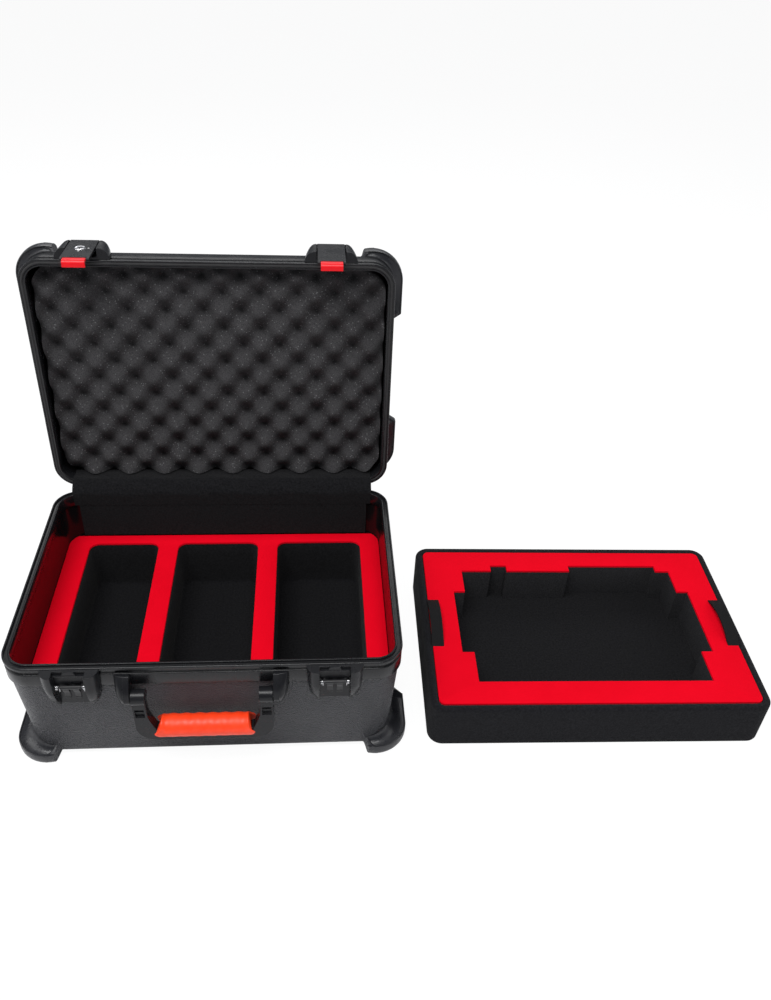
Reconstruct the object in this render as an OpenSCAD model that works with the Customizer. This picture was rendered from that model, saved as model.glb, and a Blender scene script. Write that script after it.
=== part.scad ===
// Moulded gear case with an open hinged lid, two latches, a drop handle, a
// cut foam insert and a separate lift-out foam tray standing beside it.
// Millimetres, +Z up, +Y to the hinges. The origin lies on the floor under
// the middle of the base.

/* [Case] */
// Width of the rim, across the outside
case_w = 434; // [400:1:500]
// Depth of the rim, front to back
case_d = 307; // [290:1:360]
// Height of the base, floor to rim
base_h = 160; // [150:1:200]
// Height of the lid, rim to the top of its bumpers
lid_h = 50; // [46:1:70]
// Radius of the rim's corners, seen from above
corner_r = 30; // [26:1:36]
// Thickness of the moulded walls
wall_t = 4; // [3:0.5:5]
// Radius of the shell's bottom edge
edge_r = 12; // [9:1:16]
// How far the base's side walls lean in at the floor
base_lean_x = 7; // [3:1:10]
// How far the base's front and rear walls lean in at the floor
base_lean_y = 5; // [3:1:8]
// How far the lid's walls lean in at its top
lid_lean = 2; // [1:0.5:3]
// Angle that the lid stands open
lid_open = 94; // [88:1:100]

/* [Bumpers] */
// Height of the bumpers under and over the shells
bumper_foot = 3; // [2:0.5:5]
// How far the bumpers stand past the rim's sides
bumper_side = 12; // [6:1:16]
// How far the bumpers stand past the rim's front and back
bumper_front = 3.5; // [2:0.5:6]
// Radius of the bumpers' outer corner
bumper_r = 38; // [30:1:42]
// Length of a bumper along the side wall, past its corner
bumper_run = 41; // [20:1:55]
// Height of a base bumper on the front wall
bumper_front_h = 22; // [18:1:30]
// Height of a base bumper on the side wall
bumper_side_h = 45; // [35:1:60]
// Height of a lid bumper
bumper_lid_h = 21; // [18:0.5:21]

/* [Rim] */
// Height of the metal rim on each half
rim_h = 27.5; // [24:0.5:30]
// Width of the rim, outside to opening
rim_w = 8.5; // [8:0.5:10]
// Height of the bead along the rim's edge
bead_h = 4.5; // [3:0.5:6]
// Height of the groove behind the bead
groove_h = 5.5; // [4:0.5:7]
// Depth of that groove
groove_t = 2.5; // [1:0.5:2.5]
// How far the rim stands out from the shell
rim_proud = 3; // [3:0.5:4]
// Thickness of metal between the groove and the shell's edge
rim_web = 1; // [0.5:0.5:3]
// Gap between the closed rims
seam_gap = 1; // [0.6:0.2:2]
// Width of the seal
seal_w = 3; // [2:0.5:4]

/* [Hinge] */
// Length of the hinge
hinge_w = 330; // [250:2:340]
// Number of hinge knuckles
hinge_knuckles = 11; // [7:2:21]
// Radius of the hinge barrel
hinge_r = 3.5; // [3:0.25:3.5]
// Radius of the hinge pin
hinge_pin_r = 1.5; // [1:0.1:2]
// Thickness of the hinge leaves
leaf_t = 1.5; // [1:0.1:2]
// Height of each hinge leaf
leaf_h = 20; // [16:1:24]

/* [Latches] */
// Distance of each latch from the rim's side
latch_in = 76; // [68:1:88]
// Width of a latch lever
lever_w = 32; // [26:1:36]
// Width of a latch housing at the seam
housing_w = 62; // [54:1:66]
// Thickness of a latch's mounting plate
plate_t = 3; // [2:0.5:3.5]
// How far a latch stands out from the rim
latch_proud = 13.5; // [13:0.5:15]
// Thickness of a lever
lever_t = 3.5; // [3:0.25:4]
// How far a lever reaches over the lid
lever_up = 27; // [22:1:30]
// How far a lever reaches over the base
lever_down = 30; // [26:1:34]
// How far the red release tab hangs below its lever
tab_drop = 9; // [7:0.5:12]
// How far the release tab reaches back from the lever's face
tab_reach = 8; // [6:0.5:8]
// Width of the red release tab
tab_w = 25; // [20:1:26]
// Radius of the lever's pivot pin
latch_pin_r = 1.6; // [1.2:0.1:2]
// Radius of the lock cylinder
lock_r = 6.5; // [5:0.5:8]
// Height of a keeper below the rim
keeper_h = 58; // [52:1:62]

/* [Handle] */
// Distance between the insides of the two handle brackets
handle_span = 153; // [136:1:168]
// Distance of the handle's middle to the left of the case's middle
handle_left = 2.5; // [0:0.5:4]
// Width of a handle bracket
bracket_w = 17; // [14:1:20]
// Height of the handle pivot above the floor
handle_z = 126; // [115:1:130]
// Distance of the handle pivot in front of the rim
handle_out = 11.5; // [11:0.5:14]
// Distance from the pivot to the middle of the grip
handle_drop = 49; // [44:1:56]
// Radius of the grip
grip_r = 13.5; // [12:0.5:14]
// Length of the grip
grip_len = 112; // [96:1:114]
// Radius of the handle's pivot pins
handle_pin_r = 3; // [2:0.25:3.5]

/* [Foam insert] */
// Height of the insert's top above the floor
insert_z = 92.5; // [80:0.5:100]
// Thickness of the red facing sheets
facing_t = 3; // [2:0.5:5]
// Width of the left pocket
pocket_1_w = 91; // [80:1:96]
// Width of the middle pocket
pocket_2_w = 107; // [90:1:112]
// Width of the right pocket
pocket_3_w = 112; // [90:1:116]
// Width of the foam between two pockets
pocket_rib = 25.5; // [16:0.5:28]
// Depth of the pockets, front to back
pocket_d = 244; // [200:1:250]
// Height of the pocket floors above the shell's floor
pocket_floor = 12; // [8:1:30]
// Corner radius of the pockets
pocket_r = 12; // [8:1:16]
// Thickness of the fleece linings
fleece_t = 1.5; // [1:0.25:2]
// Distance between the fleece hinge flap's ends and the rim's opening
flap_in = 12.5; // [12:0.5:30]

/* [Lid foam] */
// Distance of the foam's peaks behind the lid's rim
foam_gap = 8; // [6:0.5:12]
// Depth of the foam's pits
foam_pit = 16; // [10:1:20]
// Distance between two pits in a row
foam_pitch = 45; // [45:1:60]
// Margin between the foam and the lid's opening
foam_margin = 4; // [2:0.5:8]

/* [Tray] */
// Width of the tray
tray_w = 414; // [390:1:414]
// Depth of the tray
tray_d = 287; // [270:1:287]
// Height of the tray
tray_h = 64; // [58:1:66]
// Thickness of the tray's wall
tray_t = 10; // [8:0.5:12]
// Thickness of the tray's floor
tray_floor = 8; // [6:1:10]
// Radius of the tray's corners
tray_r = 18; // [17:1:24]
// Distance between the case's rim and the tray
tray_gap = 41; // [34:1:90]
// Distance of the tray's middle in front of the case's middle
tray_back = 6; // [0:1:20]
// Turn of the tray on the floor
tray_turn = 1.3; // [0:0.1:4]
// Width of the recess in the tray
recess_w = 291; // [280:1:300]
// Depth of the recess, front to back
recess_d = 195.5; // [180:0.5:205]
// How deep the recess goes down from the tray's top
recess_deep = 52; // [40:1:52]
// Width of a pull strap
strap_w = 15; // [12:1:18]
// Length of a pull strap along the tray
strap_len = 90; // [70:1:100]
// Height of a pull strap's arch
strap_rise = 12; // [11:0.5:16]
// Thickness of a pull strap
strap_t = 2.5; // [2:0.25:3]

/* [Hidden] */
$fn = 64;

// clearances
fit = 0.3;          // between a round seat and a faceted shell
seat = 0.1;         // between two flat faces that are screwed together
run = 0.05;         // radial, between a pin and its bore
eps = 0.01;         // overshoot of a cut past a face
hull_fn = 32;       // sides of a circle inside a hull
slice = 0.05;       // thickness of a slice inside a hull

// shells
shell_w = case_w - 2 * rim_proud;
shell_d = case_d - 2 * rim_proud;
shell_r = corner_r - rim_proud;
open_w = case_w - 2 * rim_w;
open_d = case_d - 2 * rim_w;
open_r = corner_r - rim_w;
rim_cap = bead_h + groove_h + rim_web;
base_depth = base_h - bumper_foot;
lid_depth = lid_h - bumper_foot;
lid_z = base_h + seam_gap;
latch_x = case_w / 2 - latch_in;
flap_w = open_w - 2 * flap_in;
lining_w = open_w - 2 * open_r - 2;
tray_x = case_w / 2 + tray_gap + tray_w / 2;
front_y = -case_d / 2;
rear_y = case_d / 2;
cavity_z = bumper_foot + wall_t;

// colours
BLACK = [0.09, 0.09, 0.10];
DARK = [0.15, 0.15, 0.16];
FLEECE = [0.20, 0.20, 0.21];
CHARCOAL = [0.25, 0.25, 0.26];
RED = [0.85, 0.03, 0.05];
ORANGE = [1.0, 0.28, 0.12];
CHROME = [0.80, 0.80, 0.82];

// ---- shared shapes ----

module rounded(w, d, r) {
    square([w - 2 * r, d], center = true);
    square([w, d - 2 * r], center = true);
    for (sx = [-1, 1], sy = [-1, 1])
        translate([sx * (w / 2 - r), sy * (d / 2 - r)])
            circle(r);
}

module slab(w, d, r, z0, z1) {
    translate([0, 0, z0])
        linear_extrude(z1 - z0)
            rounded(w, d, r);
}

module bar_x(x0, x1) {
    translate([x0, 0, 0])
        rotate([90, 0, 90])
            linear_extrude(x1 - x0)
                children();
}

module rod_x(x0, x1, y, z, r) {
    translate([x0, y, z])
        rotate([0, 90, 0])
            cylinder(h = x1 - x0, r = r);
}

module both_sides() {
    children();
    mirror([1, 0, 0]) children();
}

// A tub that opens at z = 0 and hangs down to -depth. Its walls lean in from
// the rim's lower edge, and its bottom edge is round. inset offsets it inwards.
module tub(depth, lean_x, lean_y, inset) {
    er = edge_r - inset;
    hull() {
        slab(shell_w - 2 * inset, shell_d - 2 * inset, shell_r - inset, -rim_h, -rim_cap, $fn = hull_fn);
        for (a = [0:22.5:90]) {
            in = inset + er * (1 - sin(a));
            z = -(depth - inset) + er * (1 - cos(a));
            slab(shell_w - 2 * (lean_x + in), shell_d - 2 * (lean_y + in), shell_r - in, z, z + slice,
                $fn = hull_fn);
        }
    }
}

// Distance of the base's front wall from the middle at a height
function wall_y(z) = shell_d / 2
    - base_lean_y * (base_h - rim_h - z) / (base_depth - rim_h - edge_r);

// ---- moulded shells ----
// A shell is one closed skin, lofted through stations round its wall. Each
// station has its point on the wall, its outward direction, the sides that
// lean with it, the bumper's lip there and the bumper's height on the wall
// (0 where there is no bumper).

corner_steps = 8;
bumper_lip = 13;     // height of a bumper's lip
bumper_under = 14;   // how far its foot reaches under the shell
bumper_ramp = 14;    // length of the ramp at each end
edge_z = bumper_foot + edge_r;

function times(a, b) = [a[0] * b[0], a[1] * b[1]];
function reversed(v) = [for (i = [len(v) - 1:-1:0]) v[i]];
function mirrored(v, k) = [for (s = v) [times(s[0], k), times(s[1], k), times(s[2], k), times(s[3], k), s[4]]];

function quarter(lean, h_front, h_side) =
    let (wall = [shell_w / 2, shell_d / 2] - lean, at = wall - [shell_r, shell_r],
        lip_at = [case_w / 2 + bumper_side, case_d / 2 + bumper_front] - [bumper_r, bumper_r])
    concat(
        [[[lip_at[0] - bumper_ramp, wall[1]], [0, 1], [0, 1], wall, 0]],
        [for (i = [0:corner_steps])
            let (a = 90 * (1 - i / corner_steps), f = i / corner_steps, n = [cos(a), sin(a)])
            [at + shell_r * n, n, [1, 1], lip_at + bumper_r * n, h_front + (h_side - h_front) * f * f]],
        [[[wall[0], lip_at[1] - bumper_run + 2], [1, 0], [1, 0], lip_at + [bumper_r, -bumper_run], h_side],
         [[wall[0], lip_at[1] - bumper_run - bumper_ramp], [1, 0], [1, 0], wall, 0]]);

function shell_ring(lean, h_front, h_side) =
    let (q = quarter(lean, h_front, h_side))
    concat(q, reversed(mirrored(q, [1, -1])), mirrored(q, [-1, -1]), reversed(mirrored(q, [-1, 1])));

// Profile of one station, from the middle of the floor's top, up the inside,
// over the edge and down the outside to the underside
function shell_section(s, total, lean, side_h) =
    let (w = s[0], n = s[1], lean_by = times(s[2], lean), reach = norm(s[3] - w), dir = (s[3] - w) / reach,
        h = s[4], z1 = total - rim_h, top = total - rim_cap, inner_r = edge_r - wall_t, lip = min(bumper_lip, h - 6))
    concat(
        [for (a = [90, 60, 30]) [-wall_t - inner_r * (1 - cos(a)), edge_z - inner_r * sin(a), n]],
        [[-wall_t, edge_z, n], [-wall_t, z1, n], [-wall_t, top, n], [0, top, n], [0, z1, n]],
        h > 0 ? concat(
            [[0, h, n]],
            [for (a = [30, 55, 78]) [reach * (1 - cos(a)), lip + (h - lip) * (1 - sin(a)), dir]],
            [[reach - 1.5, lip + 1, dir], [reach, lip - 1, dir], [reach, 3, dir], [reach - 3, 0, dir],
             [-bumper_under + 1, 0, n], [-bumper_under, bumper_foot, n]])
        : concat(
            [for (k = [0:4]) [0, edge_z + (side_h - edge_z) * (1 - k / 4), n]],
            [for (a = [22.5:22.5:90]) [-edge_r * (1 - cos(a)), edge_z - edge_r * sin(a), n]],
            [[-bumper_under, bumper_foot, n]]));

function lean_share(z, total) = min(1, max(0, (z - edge_z) / (total - rim_h - edge_z)));

module shell_body(total, lean, h_front, h_side) {
    stations = shell_ring(lean, h_front, h_side);
    rings = [for (s = stations)
        [for (p = shell_section(s, total, lean, h_side))
            let (xy = s[0] + p[2] * p[0] + times(s[2], lean) * lean_share(p[1], total))
                [xy[0], xy[1], p[1]]]];
    n = len(rings);
    m = len(rings[0]);
    inside = n * m;
    under = n * m + 1;
    polyhedron(
        concat([for (r = rings, p = r) p], [[0, 0, bumper_foot + wall_t], [0, 0, bumper_foot]]),
        concat(
            [for (k = [0:n - 1], i = [0:m - 2])
                let (j = (k + 1) % n) [k * m + i, k * m + i + 1, j * m + i]],
            [for (k = [0:n - 1], i = [0:m - 2])
                let (j = (k + 1) % n) [k * m + i + 1, j * m + i + 1, j * m + i]],
            [for (k = [0:n - 1]) [k * m, (k + 1) % n * m, inside]],
            [for (k = [0:n - 1]) [k * m + m - 1, under, (k + 1) % n * m + m - 1]]));
}

// ---- base ----

base_lean = [base_lean_x, base_lean_y];

module base_shell() {
    color(DARK) shell_body(base_h, base_lean, bumper_front_h, bumper_side_h);
}

// The rim opens at z = 0 and hangs down: a bead, a groove and a lip outside, a
// channel for the shell's edge inside.
module rim_profile() {
    lip_in = 0.5;
    difference() {
        union() {
            slab(case_w, case_d, corner_r, -bead_h, 0);
            slab(case_w - 2 * groove_t, case_d - 2 * groove_t, corner_r - groove_t,
                -bead_h - groove_h, -bead_h);
            slab(case_w - 2 * lip_in, case_d - 2 * lip_in, corner_r - lip_in, -rim_h, -bead_h - groove_h);
        }
        slab(open_w, open_d, open_r, -rim_h - 1, 1);
        difference() {
            slab(shell_w + 2 * seat, shell_d + 2 * seat, shell_r + seat, -rim_h - 1, -rim_cap);
            slab(shell_w - 2 * wall_t - 2 * fit, shell_d - 2 * wall_t - 2 * fit, shell_r - wall_t - fit,
                -rim_cap - 6, -rim_cap + 1);
        }
    }
}

module seal_ring(w, z0, z1) {
    mid = rim_w / 2;
    difference() {
        slab(case_w - 2 * mid + w, case_d - 2 * mid + w, corner_r - mid + w / 2, z0, z1);
        slab(case_w - 2 * mid - w, case_d - 2 * mid - w, corner_r - mid - w / 2, z0 - 1, z1 + 1);
    }
}

module base_rim() {
    color(BLACK)
        difference() {
            translate([0, 0, base_h]) rim_profile();
            seal_ring(seal_w + 1, base_h - 2.5, base_h + 1);
        }
}

// ---- foam insert in the base ----

insert_back = rear_y - rim_w - 2 * fleece_t - 1.5;
pocket_y = insert_back - 16 - pocket_d / 2;
pockets_w = pocket_1_w + pocket_2_w + pocket_3_w + 2 * pocket_rib;
pocket_x1 = -pockets_w / 2 + pocket_1_w / 2 + 1;
pocket_x2 = pocket_x1 + (pocket_1_w + pocket_2_w) / 2 + pocket_rib;
pocket_x3 = pocket_x2 + (pocket_2_w + pocket_3_w) / 2 + pocket_rib;

module pocket_holes(grow, z0, z1) {
    for (p = [[pocket_x1, pocket_1_w], [pocket_x2, pocket_2_w], [pocket_x3, pocket_3_w]])
        translate([p[0], pocket_y, 0])
            slab(p[1] + 2 * grow, pocket_d + 2 * grow, pocket_r + grow, z0, z1);
}

module insert_block(z0, z1) {
    intersection() {
        translate([0, 0, base_h]) tub(base_depth, base_lean_x, base_lean_y, wall_t + fit);
        translate([-case_w / 2, -case_d / 2, z0])
            cube([case_w, case_d / 2 + insert_back, z1 - z0]);
    }
}

module base_foam() {
    color(CHARCOAL)
        difference() {
            insert_block(cavity_z, insert_z - facing_t);
            pocket_holes(fleece_t, cavity_z + pocket_floor - fleece_t, insert_z);
        }
}

module base_foam_facing() {
    color(RED)
        difference() {
            insert_block(insert_z - facing_t, insert_z);
            pocket_holes(0, cavity_z, insert_z + 1);
        }
}

module pocket_linings() {
    color(FLEECE)
        difference() {
            pocket_holes(fleece_t, cavity_z + pocket_floor - fleece_t, insert_z - facing_t);
            pocket_holes(0, cavity_z + pocket_floor, insert_z);
        }
}

lining_y = rear_y - rim_w;
lining_low = wall_y(insert_z) - wall_t - fit;
lining_top = base_h - rim_cap - 6;
module rear_lining() {
    color(FLEECE)
        bar_x(-lining_w / 2, lining_w / 2)
            polygon([[lining_low - 2 * fleece_t, insert_z], [lining_low, insert_z], [lining_y, lining_top],
                [lining_y - 2 * fleece_t, lining_top]]);
}
// ---- hinge ----

hinge_y = rear_y + hinge_r + 0.5;
hinge_z = base_h + seam_gap / 2;
knuckle_l = hinge_w / hinge_knuckles;
knuckle_gap = 0.4;

// Carries a piece that is drawn with the lid shut to where the lid stands
module lid_pose() {
    translate([0, hinge_y, hinge_z])
        rotate([-lid_open, 0, 0])
            translate([0, -hinge_y, -hinge_z])
                children();
}

module leaf(first) {
    difference() {
        union() {
            translate([-hinge_w / 2, rear_y, hinge_z - leaf_h])
                cube([hinge_w, leaf_t, leaf_h - hinge_r - 0.6]);
            for (k = [first:2:hinge_knuckles - 1]) {
                x0 = -hinge_w / 2 + k * knuckle_l + knuckle_gap / 2;
                rod_x(x0, x0 + knuckle_l - knuckle_gap, hinge_y, hinge_z, hinge_r);
                translate([x0, rear_y, hinge_z - hinge_r - 0.6 - eps])
                    cube([knuckle_l - knuckle_gap, leaf_t, hinge_r + 0.6 + eps]);
                translate([x0, rear_y, hinge_z - hinge_r])
                    cube([knuckle_l - knuckle_gap, hinge_r + 0.5, hinge_r]);
            }
        }
        rod_x(-hinge_w, hinge_w, hinge_y, hinge_z, hinge_pin_r + run);
    }
}

module rivets(y, z) {
    for (k = [0.5:1:hinge_knuckles - 0.5])
        translate([-hinge_w / 2 + k * knuckle_l, y, z])
            rotate([-90, 0, 0]) {
                cylinder(h = 0.6, r = 2.6);
                translate([0, 0, 0.6]) cylinder(h = 0.6, r1 = 2.6, r2 = 1.4);
            }
}

module hinge_leaf_base() {
    color(BLACK) leaf(0);
}

module hinge_leaf_lid() {
    color(BLACK)
        lid_pose()
            translate([0, 0, 2 * hinge_z])
                mirror([0, 0, 1])
                    leaf(1);
}

module hinge_rivets_base() {
    color(BLACK) rivets(rear_y + leaf_t, hinge_z - leaf_h * 0.65);
}

module hinge_rivets_lid() {
    color(BLACK) lid_pose() rivets(rear_y + leaf_t, hinge_z + leaf_h * 0.65);
}

module hinge_pin() {
    color(CHROME) rod_x(-hinge_w / 2, hinge_w / 2, hinge_y, hinge_z, hinge_pin_r);
}

flap_run = 24;       // how far the flap reaches into the lid
flap_back = 2.3;     // between the flap and the rim's rear opening
// The fleece flap climbs the rear rim's inside, bridges to the open lid and
// runs on along the lid's rear wall. Its profile lies in the Y-Z plane.
function open_yz(y, z) =
    let (dy = y - hinge_y, dz = z - hinge_z)
    [hinge_y + dy * cos(lid_open) + dz * sin(lid_open), hinge_z - dy * sin(lid_open) + dz * cos(lid_open)];

module hinge_flap() {
    inner = lining_y - flap_back;
    low = lining_top;
    over = 0.8;
    a = open_yz(inner - fleece_t, lid_z - over);
    b = open_yz(inner - fleece_t, lid_z + flap_run);
    c = open_yz(inner, lid_z + flap_run);
    d = open_yz(inner, lid_z - over);
    color(FLEECE)
        bar_x(-flap_w / 2, flap_w / 2)
            polygon([[inner - fleece_t, low], [inner - fleece_t, base_h + over], a, b, c, d,
                [inner, base_h + over], [inner, low]]);
}

// ---- keepers on the base ----

latch_y = front_y - latch_proud;
plate_y = front_y - plate_t;
cheek_x = lever_w / 2 + 1;
pin_reach = 5;

// A rounded cheek, lofted through the heights in z. Its flat side lies in the
// plane x0. back is the y of its rear face, crest that of its front edge and
// wide the x where its round side meets the wall.
cheek_sides = 5;
module cheek(x0, z, back, crest, wide) {
    n = len(z);
    m = cheek_sides + 3;
    polyhedron(
        [for (k = [0:n - 1])
            let (w = wide[k] - x0 - 1.2, d = back[k] - crest[k])
            each concat([[x0, back[k], z[k]], [x0, crest[k], z[k]]],
                [for (i = [0:cheek_sides])
                    let (a = 90 * i / cheek_sides) [x0 + 1.2 + w * sin(a), back[k] - d * cos(a), z[k]]])],
        concat(
            [[for (i = [0:m - 1]) i], [for (i = [m - 1:-1:0]) m * (n - 1) + i]],
            [for (k = [0:n - 2], i = [0:m - 1]) [m * k + i, m * k + m + i, m * k + (i + 1) % m]],
            [for (k = [0:n - 2], i = [0:m - 1])
                [m * k + m + i, m * k + m + (i + 1) % m, m * k + (i + 1) % m]]));
}
keeper_top = base_h - 0.5;
keeper_low = base_h - keeper_h;
skirt_z = base_h - rim_h - fit;
catch_down = 22;     // how far a catch's pin lies below the base's edge
catch_z = base_h - catch_down;
catch_pin_r = 1.4;
catch_r = 2.2;
spring_wire = 0.8;
spring_r = catch_pin_r + spring_wire + run;
catch_y = plate_y - spring_r - spring_wire - seat;
skirt_t = 1.5;       // thickness of a keeper below the rim
ledge_z = base_h - 6.5;
module keeper() {
    low_back = -wall_y(keeper_low) - seat;
    mid_z = (keeper_low + skirt_z) / 2;
    mid_back = -wall_y(mid_z) - seat;
    difference() {
        union() {
            bar_x(-cheek_x - 1, cheek_x + 1)
                polygon([[front_y - seat, keeper_top], [plate_y, keeper_top], [plate_y, skirt_z + 1],
                    [-wall_y(skirt_z) - skirt_t, skirt_z - 3], [low_back - skirt_t, keeper_low],
                    [low_back, keeper_low], [-wall_y(skirt_z) - seat, skirt_z], [front_y - seat, skirt_z]]);
            both_sides()
                cheek(cheek_x, [keeper_low, keeper_low + 8, mid_z, skirt_z, keeper_top],
                    [low_back, low_back - 0.4, mid_back, front_y - seat, front_y - seat],
                    [low_back - 4.5, low_back - 7.5, mid_back - 12, latch_y + 1, latch_y],
                    [cheek_x + 2.5, cheek_x + 7.5, housing_w / 2 - 3, housing_w / 2 - 1, housing_w / 2]);
            translate([-cheek_x + 0.5, plate_y - 3, ledge_z])
                cube([2 * cheek_x - 1, 4, 1.6]);
            translate([0, plate_y + 1, 0])
                rotate([90, 0, 0])
                    linear_extrude(3.2)
                        polygon([[-8.3, ledge_z + 1], [8.3, ledge_z + 1],
                            [5.6, keeper_top], [-5.6, keeper_top]]);
        }
        rod_x(-cheek_x - pin_reach, cheek_x + pin_reach, catch_y, catch_z, catch_pin_r + run);
    }
}
// A sprung catch turns on its pin: a round hub and two fingers, cranked back
// below the rim, with rolled ends
module catch() {
    finger_w = 6.5;
    finger_x = 2.2;
    finger_t = 2;
    finger_low = catch_z - 18;
    hub_w = finger_x + finger_w + 2.2;
    front = catch_y - catch_r + 0.6;
    crank = 3.1;
    difference() {
        union() {
            rod_x(-hub_w, hub_w, catch_y, catch_z, catch_r);
            both_sides()
                bar_x(finger_x, finger_x + finger_w)
                    polygon([[front, catch_z], [front, skirt_z + 2], [front + crank, skirt_z - 4],
                        [front + crank, finger_low], [front + crank + finger_t, finger_low],
                        [front + crank + finger_t, skirt_z - 3.2], [front + finger_t, skirt_z + 2.8],
                        [front + finger_t, catch_z]]);
            both_sides()
                rod_x(finger_x, finger_x + finger_w, front + crank + finger_t - 1.3, finger_low, 1.3);
        }
        rod_x(-hub_w - 1, hub_w + 1, catch_y, catch_z, catch_pin_r + run);
    }
}
// The coil spring at each end of a catch, with its leg against the keeper
module spring() {
    coils = 3;
    coil_step = 2 * spring_wire - 0.1;
    first = cheek_x - 0.3 - spring_wire - (coils - 1) * coil_step;
    for (k = [0:coils - 1])
        translate([first + k * coil_step, catch_y, catch_z])
            rotate([0, 90, 0])
                rotate_extrude($fn = 24)
                    translate([spring_r, 0]) circle(spring_wire, $fn = 16);
    translate([first, catch_y + spring_r, catch_z - 9])
        cylinder(h = 8.5, r = spring_wire - 0.2);
}

module catch_springs() {
    color(CHROME)
        for (s = [-1, 1])
            translate([s * latch_x, 0, 0])
                both_sides() spring();
}
module keeper_left() { color(DARK) translate([-latch_x, 0, 0]) keeper(); }
module keeper_right() { color(DARK) translate([latch_x, 0, 0]) keeper(); }
module catch_left() { color(BLACK) translate([-latch_x, 0, 0]) catch(); }
module catch_right() { color(BLACK) translate([latch_x, 0, 0]) catch(); }

module catch_pins() {
    color(CHROME)
        for (s = [-1, 1])
            translate([s * latch_x, 0, 0])
                rod_x(-cheek_x - pin_reach + 0.5, cheek_x + pin_reach - 0.5, catch_y, catch_z, catch_pin_r);
}

// ---- latches on the lid, drawn with the lid shut ----

lever_r = latch_proud - plate_t - 1;
pivot_r = lever_r / 2;
pivot_y = latch_y + pivot_r;
pivot_z = lid_z + lever_up;
housing_top = lid_z + lid_depth - 5;
tab_r = 1.9;
tab_y = latch_y + tab_r + 0.1;
tab_z = base_h - lever_down;
tab_pin_r = 0.8;
lever_round = 2;     // radius of a lever's corners at its pivot
module latch_housing() {
    lid_wall = -(shell_d / 2 - lid_lean) - seat;
    lid_low = lid_z + 0.5;
    over = lid_z + rim_h + fit;
    difference() {
        union() {
            bar_x(-cheek_x - 1, cheek_x + 1)
                polygon([[front_y - seat, lid_low], [plate_y, lid_low], [plate_y, pivot_z + pivot_r + 2],
                    [latch_y + 3, pivot_z + pivot_r + 3], [lid_wall - 3, housing_top], [lid_wall, housing_top],
                    [-shell_d / 2 - seat, over], [front_y - seat, over]]);
            both_sides()
                cheek(cheek_x, [lid_low, (lid_low + over) / 2, over, housing_top - 6, housing_top],
                    [front_y - seat, front_y - seat, front_y - seat, lid_wall, lid_wall],
                    [latch_y, latch_y, latch_y + 0.3, lid_wall - 9, lid_wall - 5],
                    [housing_w / 2, housing_w / 2 - 1, housing_w / 2 - 4, cheek_x + 6, cheek_x + 3.5]);
        }
        rod_x(-cheek_x - pin_reach, cheek_x + pin_reach, pivot_y, pivot_z, latch_pin_r + run);
    }
}

module lever(lock) {
    ear_w = (lever_w - tab_w) / 2 - 0.3;
    difference() {
        union() {
            rod_x(-lever_w / 2, lever_w / 2, pivot_y, pivot_z, pivot_r);
            translate([-lever_w / 2, latch_y, tab_z + tab_r + 0.4])
                cube([lever_w, lever_t, pivot_z - tab_z - tab_r - 0.4]);
            both_sides()
                translate([lever_w / 2 - ear_w, latch_y, tab_z])
                    cube([ear_w, lever_t, tab_r + 1]);
            both_sides()
                rod_x(lever_w / 2 - ear_w, lever_w / 2, latch_y + lever_t / 2, tab_z, lever_t / 2);
        }
        rod_x(-lever_w, lever_w, pivot_y, pivot_z, latch_pin_r + run);
        rod_x(-lever_w, lever_w, tab_y, tab_z, tab_pin_r + run);
        both_sides()
            translate([lever_w / 2, latch_y - 1, pivot_z + pivot_r])
                rotate([-90, 0, 0])
                    linear_extrude(2 * pivot_r + 2)
                        difference() {
                            square(2 * lever_round, center = true);
                            translate([-lever_round, lever_round]) circle(lever_round);
                        }
        if (lock)
            translate([0, latch_y - 1, lid_z])
                rotate([-90, 0, 0])
                    cylinder(h = lever_t + 2, r = lock_r + run);
    }
}

// The release tab hangs from its pin and turns back under the lever's end
module release_tab() {
    tab_t = 3;
    bend = 4;
    low = tab_z - tab_drop;
    difference() {
        union() {
            rod_x(-tab_w / 2, tab_w / 2, tab_y, tab_z, tab_r);
            bar_x(-tab_w / 2, tab_w / 2)
                difference() {
                    union() {
                        translate([latch_y, low + bend]) square([tab_reach, tab_drop - bend]);
                        translate([latch_y + bend, low]) square([tab_reach - bend, tab_drop]);
                        translate([latch_y + bend, low + bend]) circle(bend);
                    }
                    translate([latch_y + tab_t, low + tab_t]) square([tab_reach, tab_drop]);
                }
        }
        rod_x(-tab_w, tab_w, tab_y, tab_z, tab_pin_r + run);
    }
}

module lock_body() {
    slot_w = 1.6;
    slot_l = 7;
    translate([0, latch_y - 0.6, lid_z])
        rotate([-90, 0, 0])
            difference() {
                cylinder(h = lever_t + 0.6, r = lock_r);
                translate([-slot_w / 2, -slot_l / 2, -1]) cube([slot_w, slot_l, 3]);
                translate([0, 0, -1]) cylinder(h = 3, r = 1.5);
            }
}

module at_latch(side) {
    lid_pose() translate([side * latch_x, 0, 0]) children();
}

module latch_housing_left() { color(DARK) at_latch(-1) latch_housing(); }
module latch_housing_right() { color(DARK) at_latch(1) latch_housing(); }
module latch_lever_left() { color(DARK) at_latch(-1) lever(true); }
module latch_lever_right() { color(DARK) at_latch(1) lever(false); }
module lock_cylinder() { color(CHROME) at_latch(-1) lock_body(); }
module release_tab_left() { color(RED) at_latch(-1) release_tab(); }
module release_tab_right() { color(RED) at_latch(1) release_tab(); }

module latch_pins() {
    color(CHROME)
        for (s = [-1, 1])
            at_latch(s)
                rod_x(-cheek_x - pin_reach + 0.5, cheek_x + pin_reach - 0.5, pivot_y, pivot_z, latch_pin_r);
}

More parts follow.
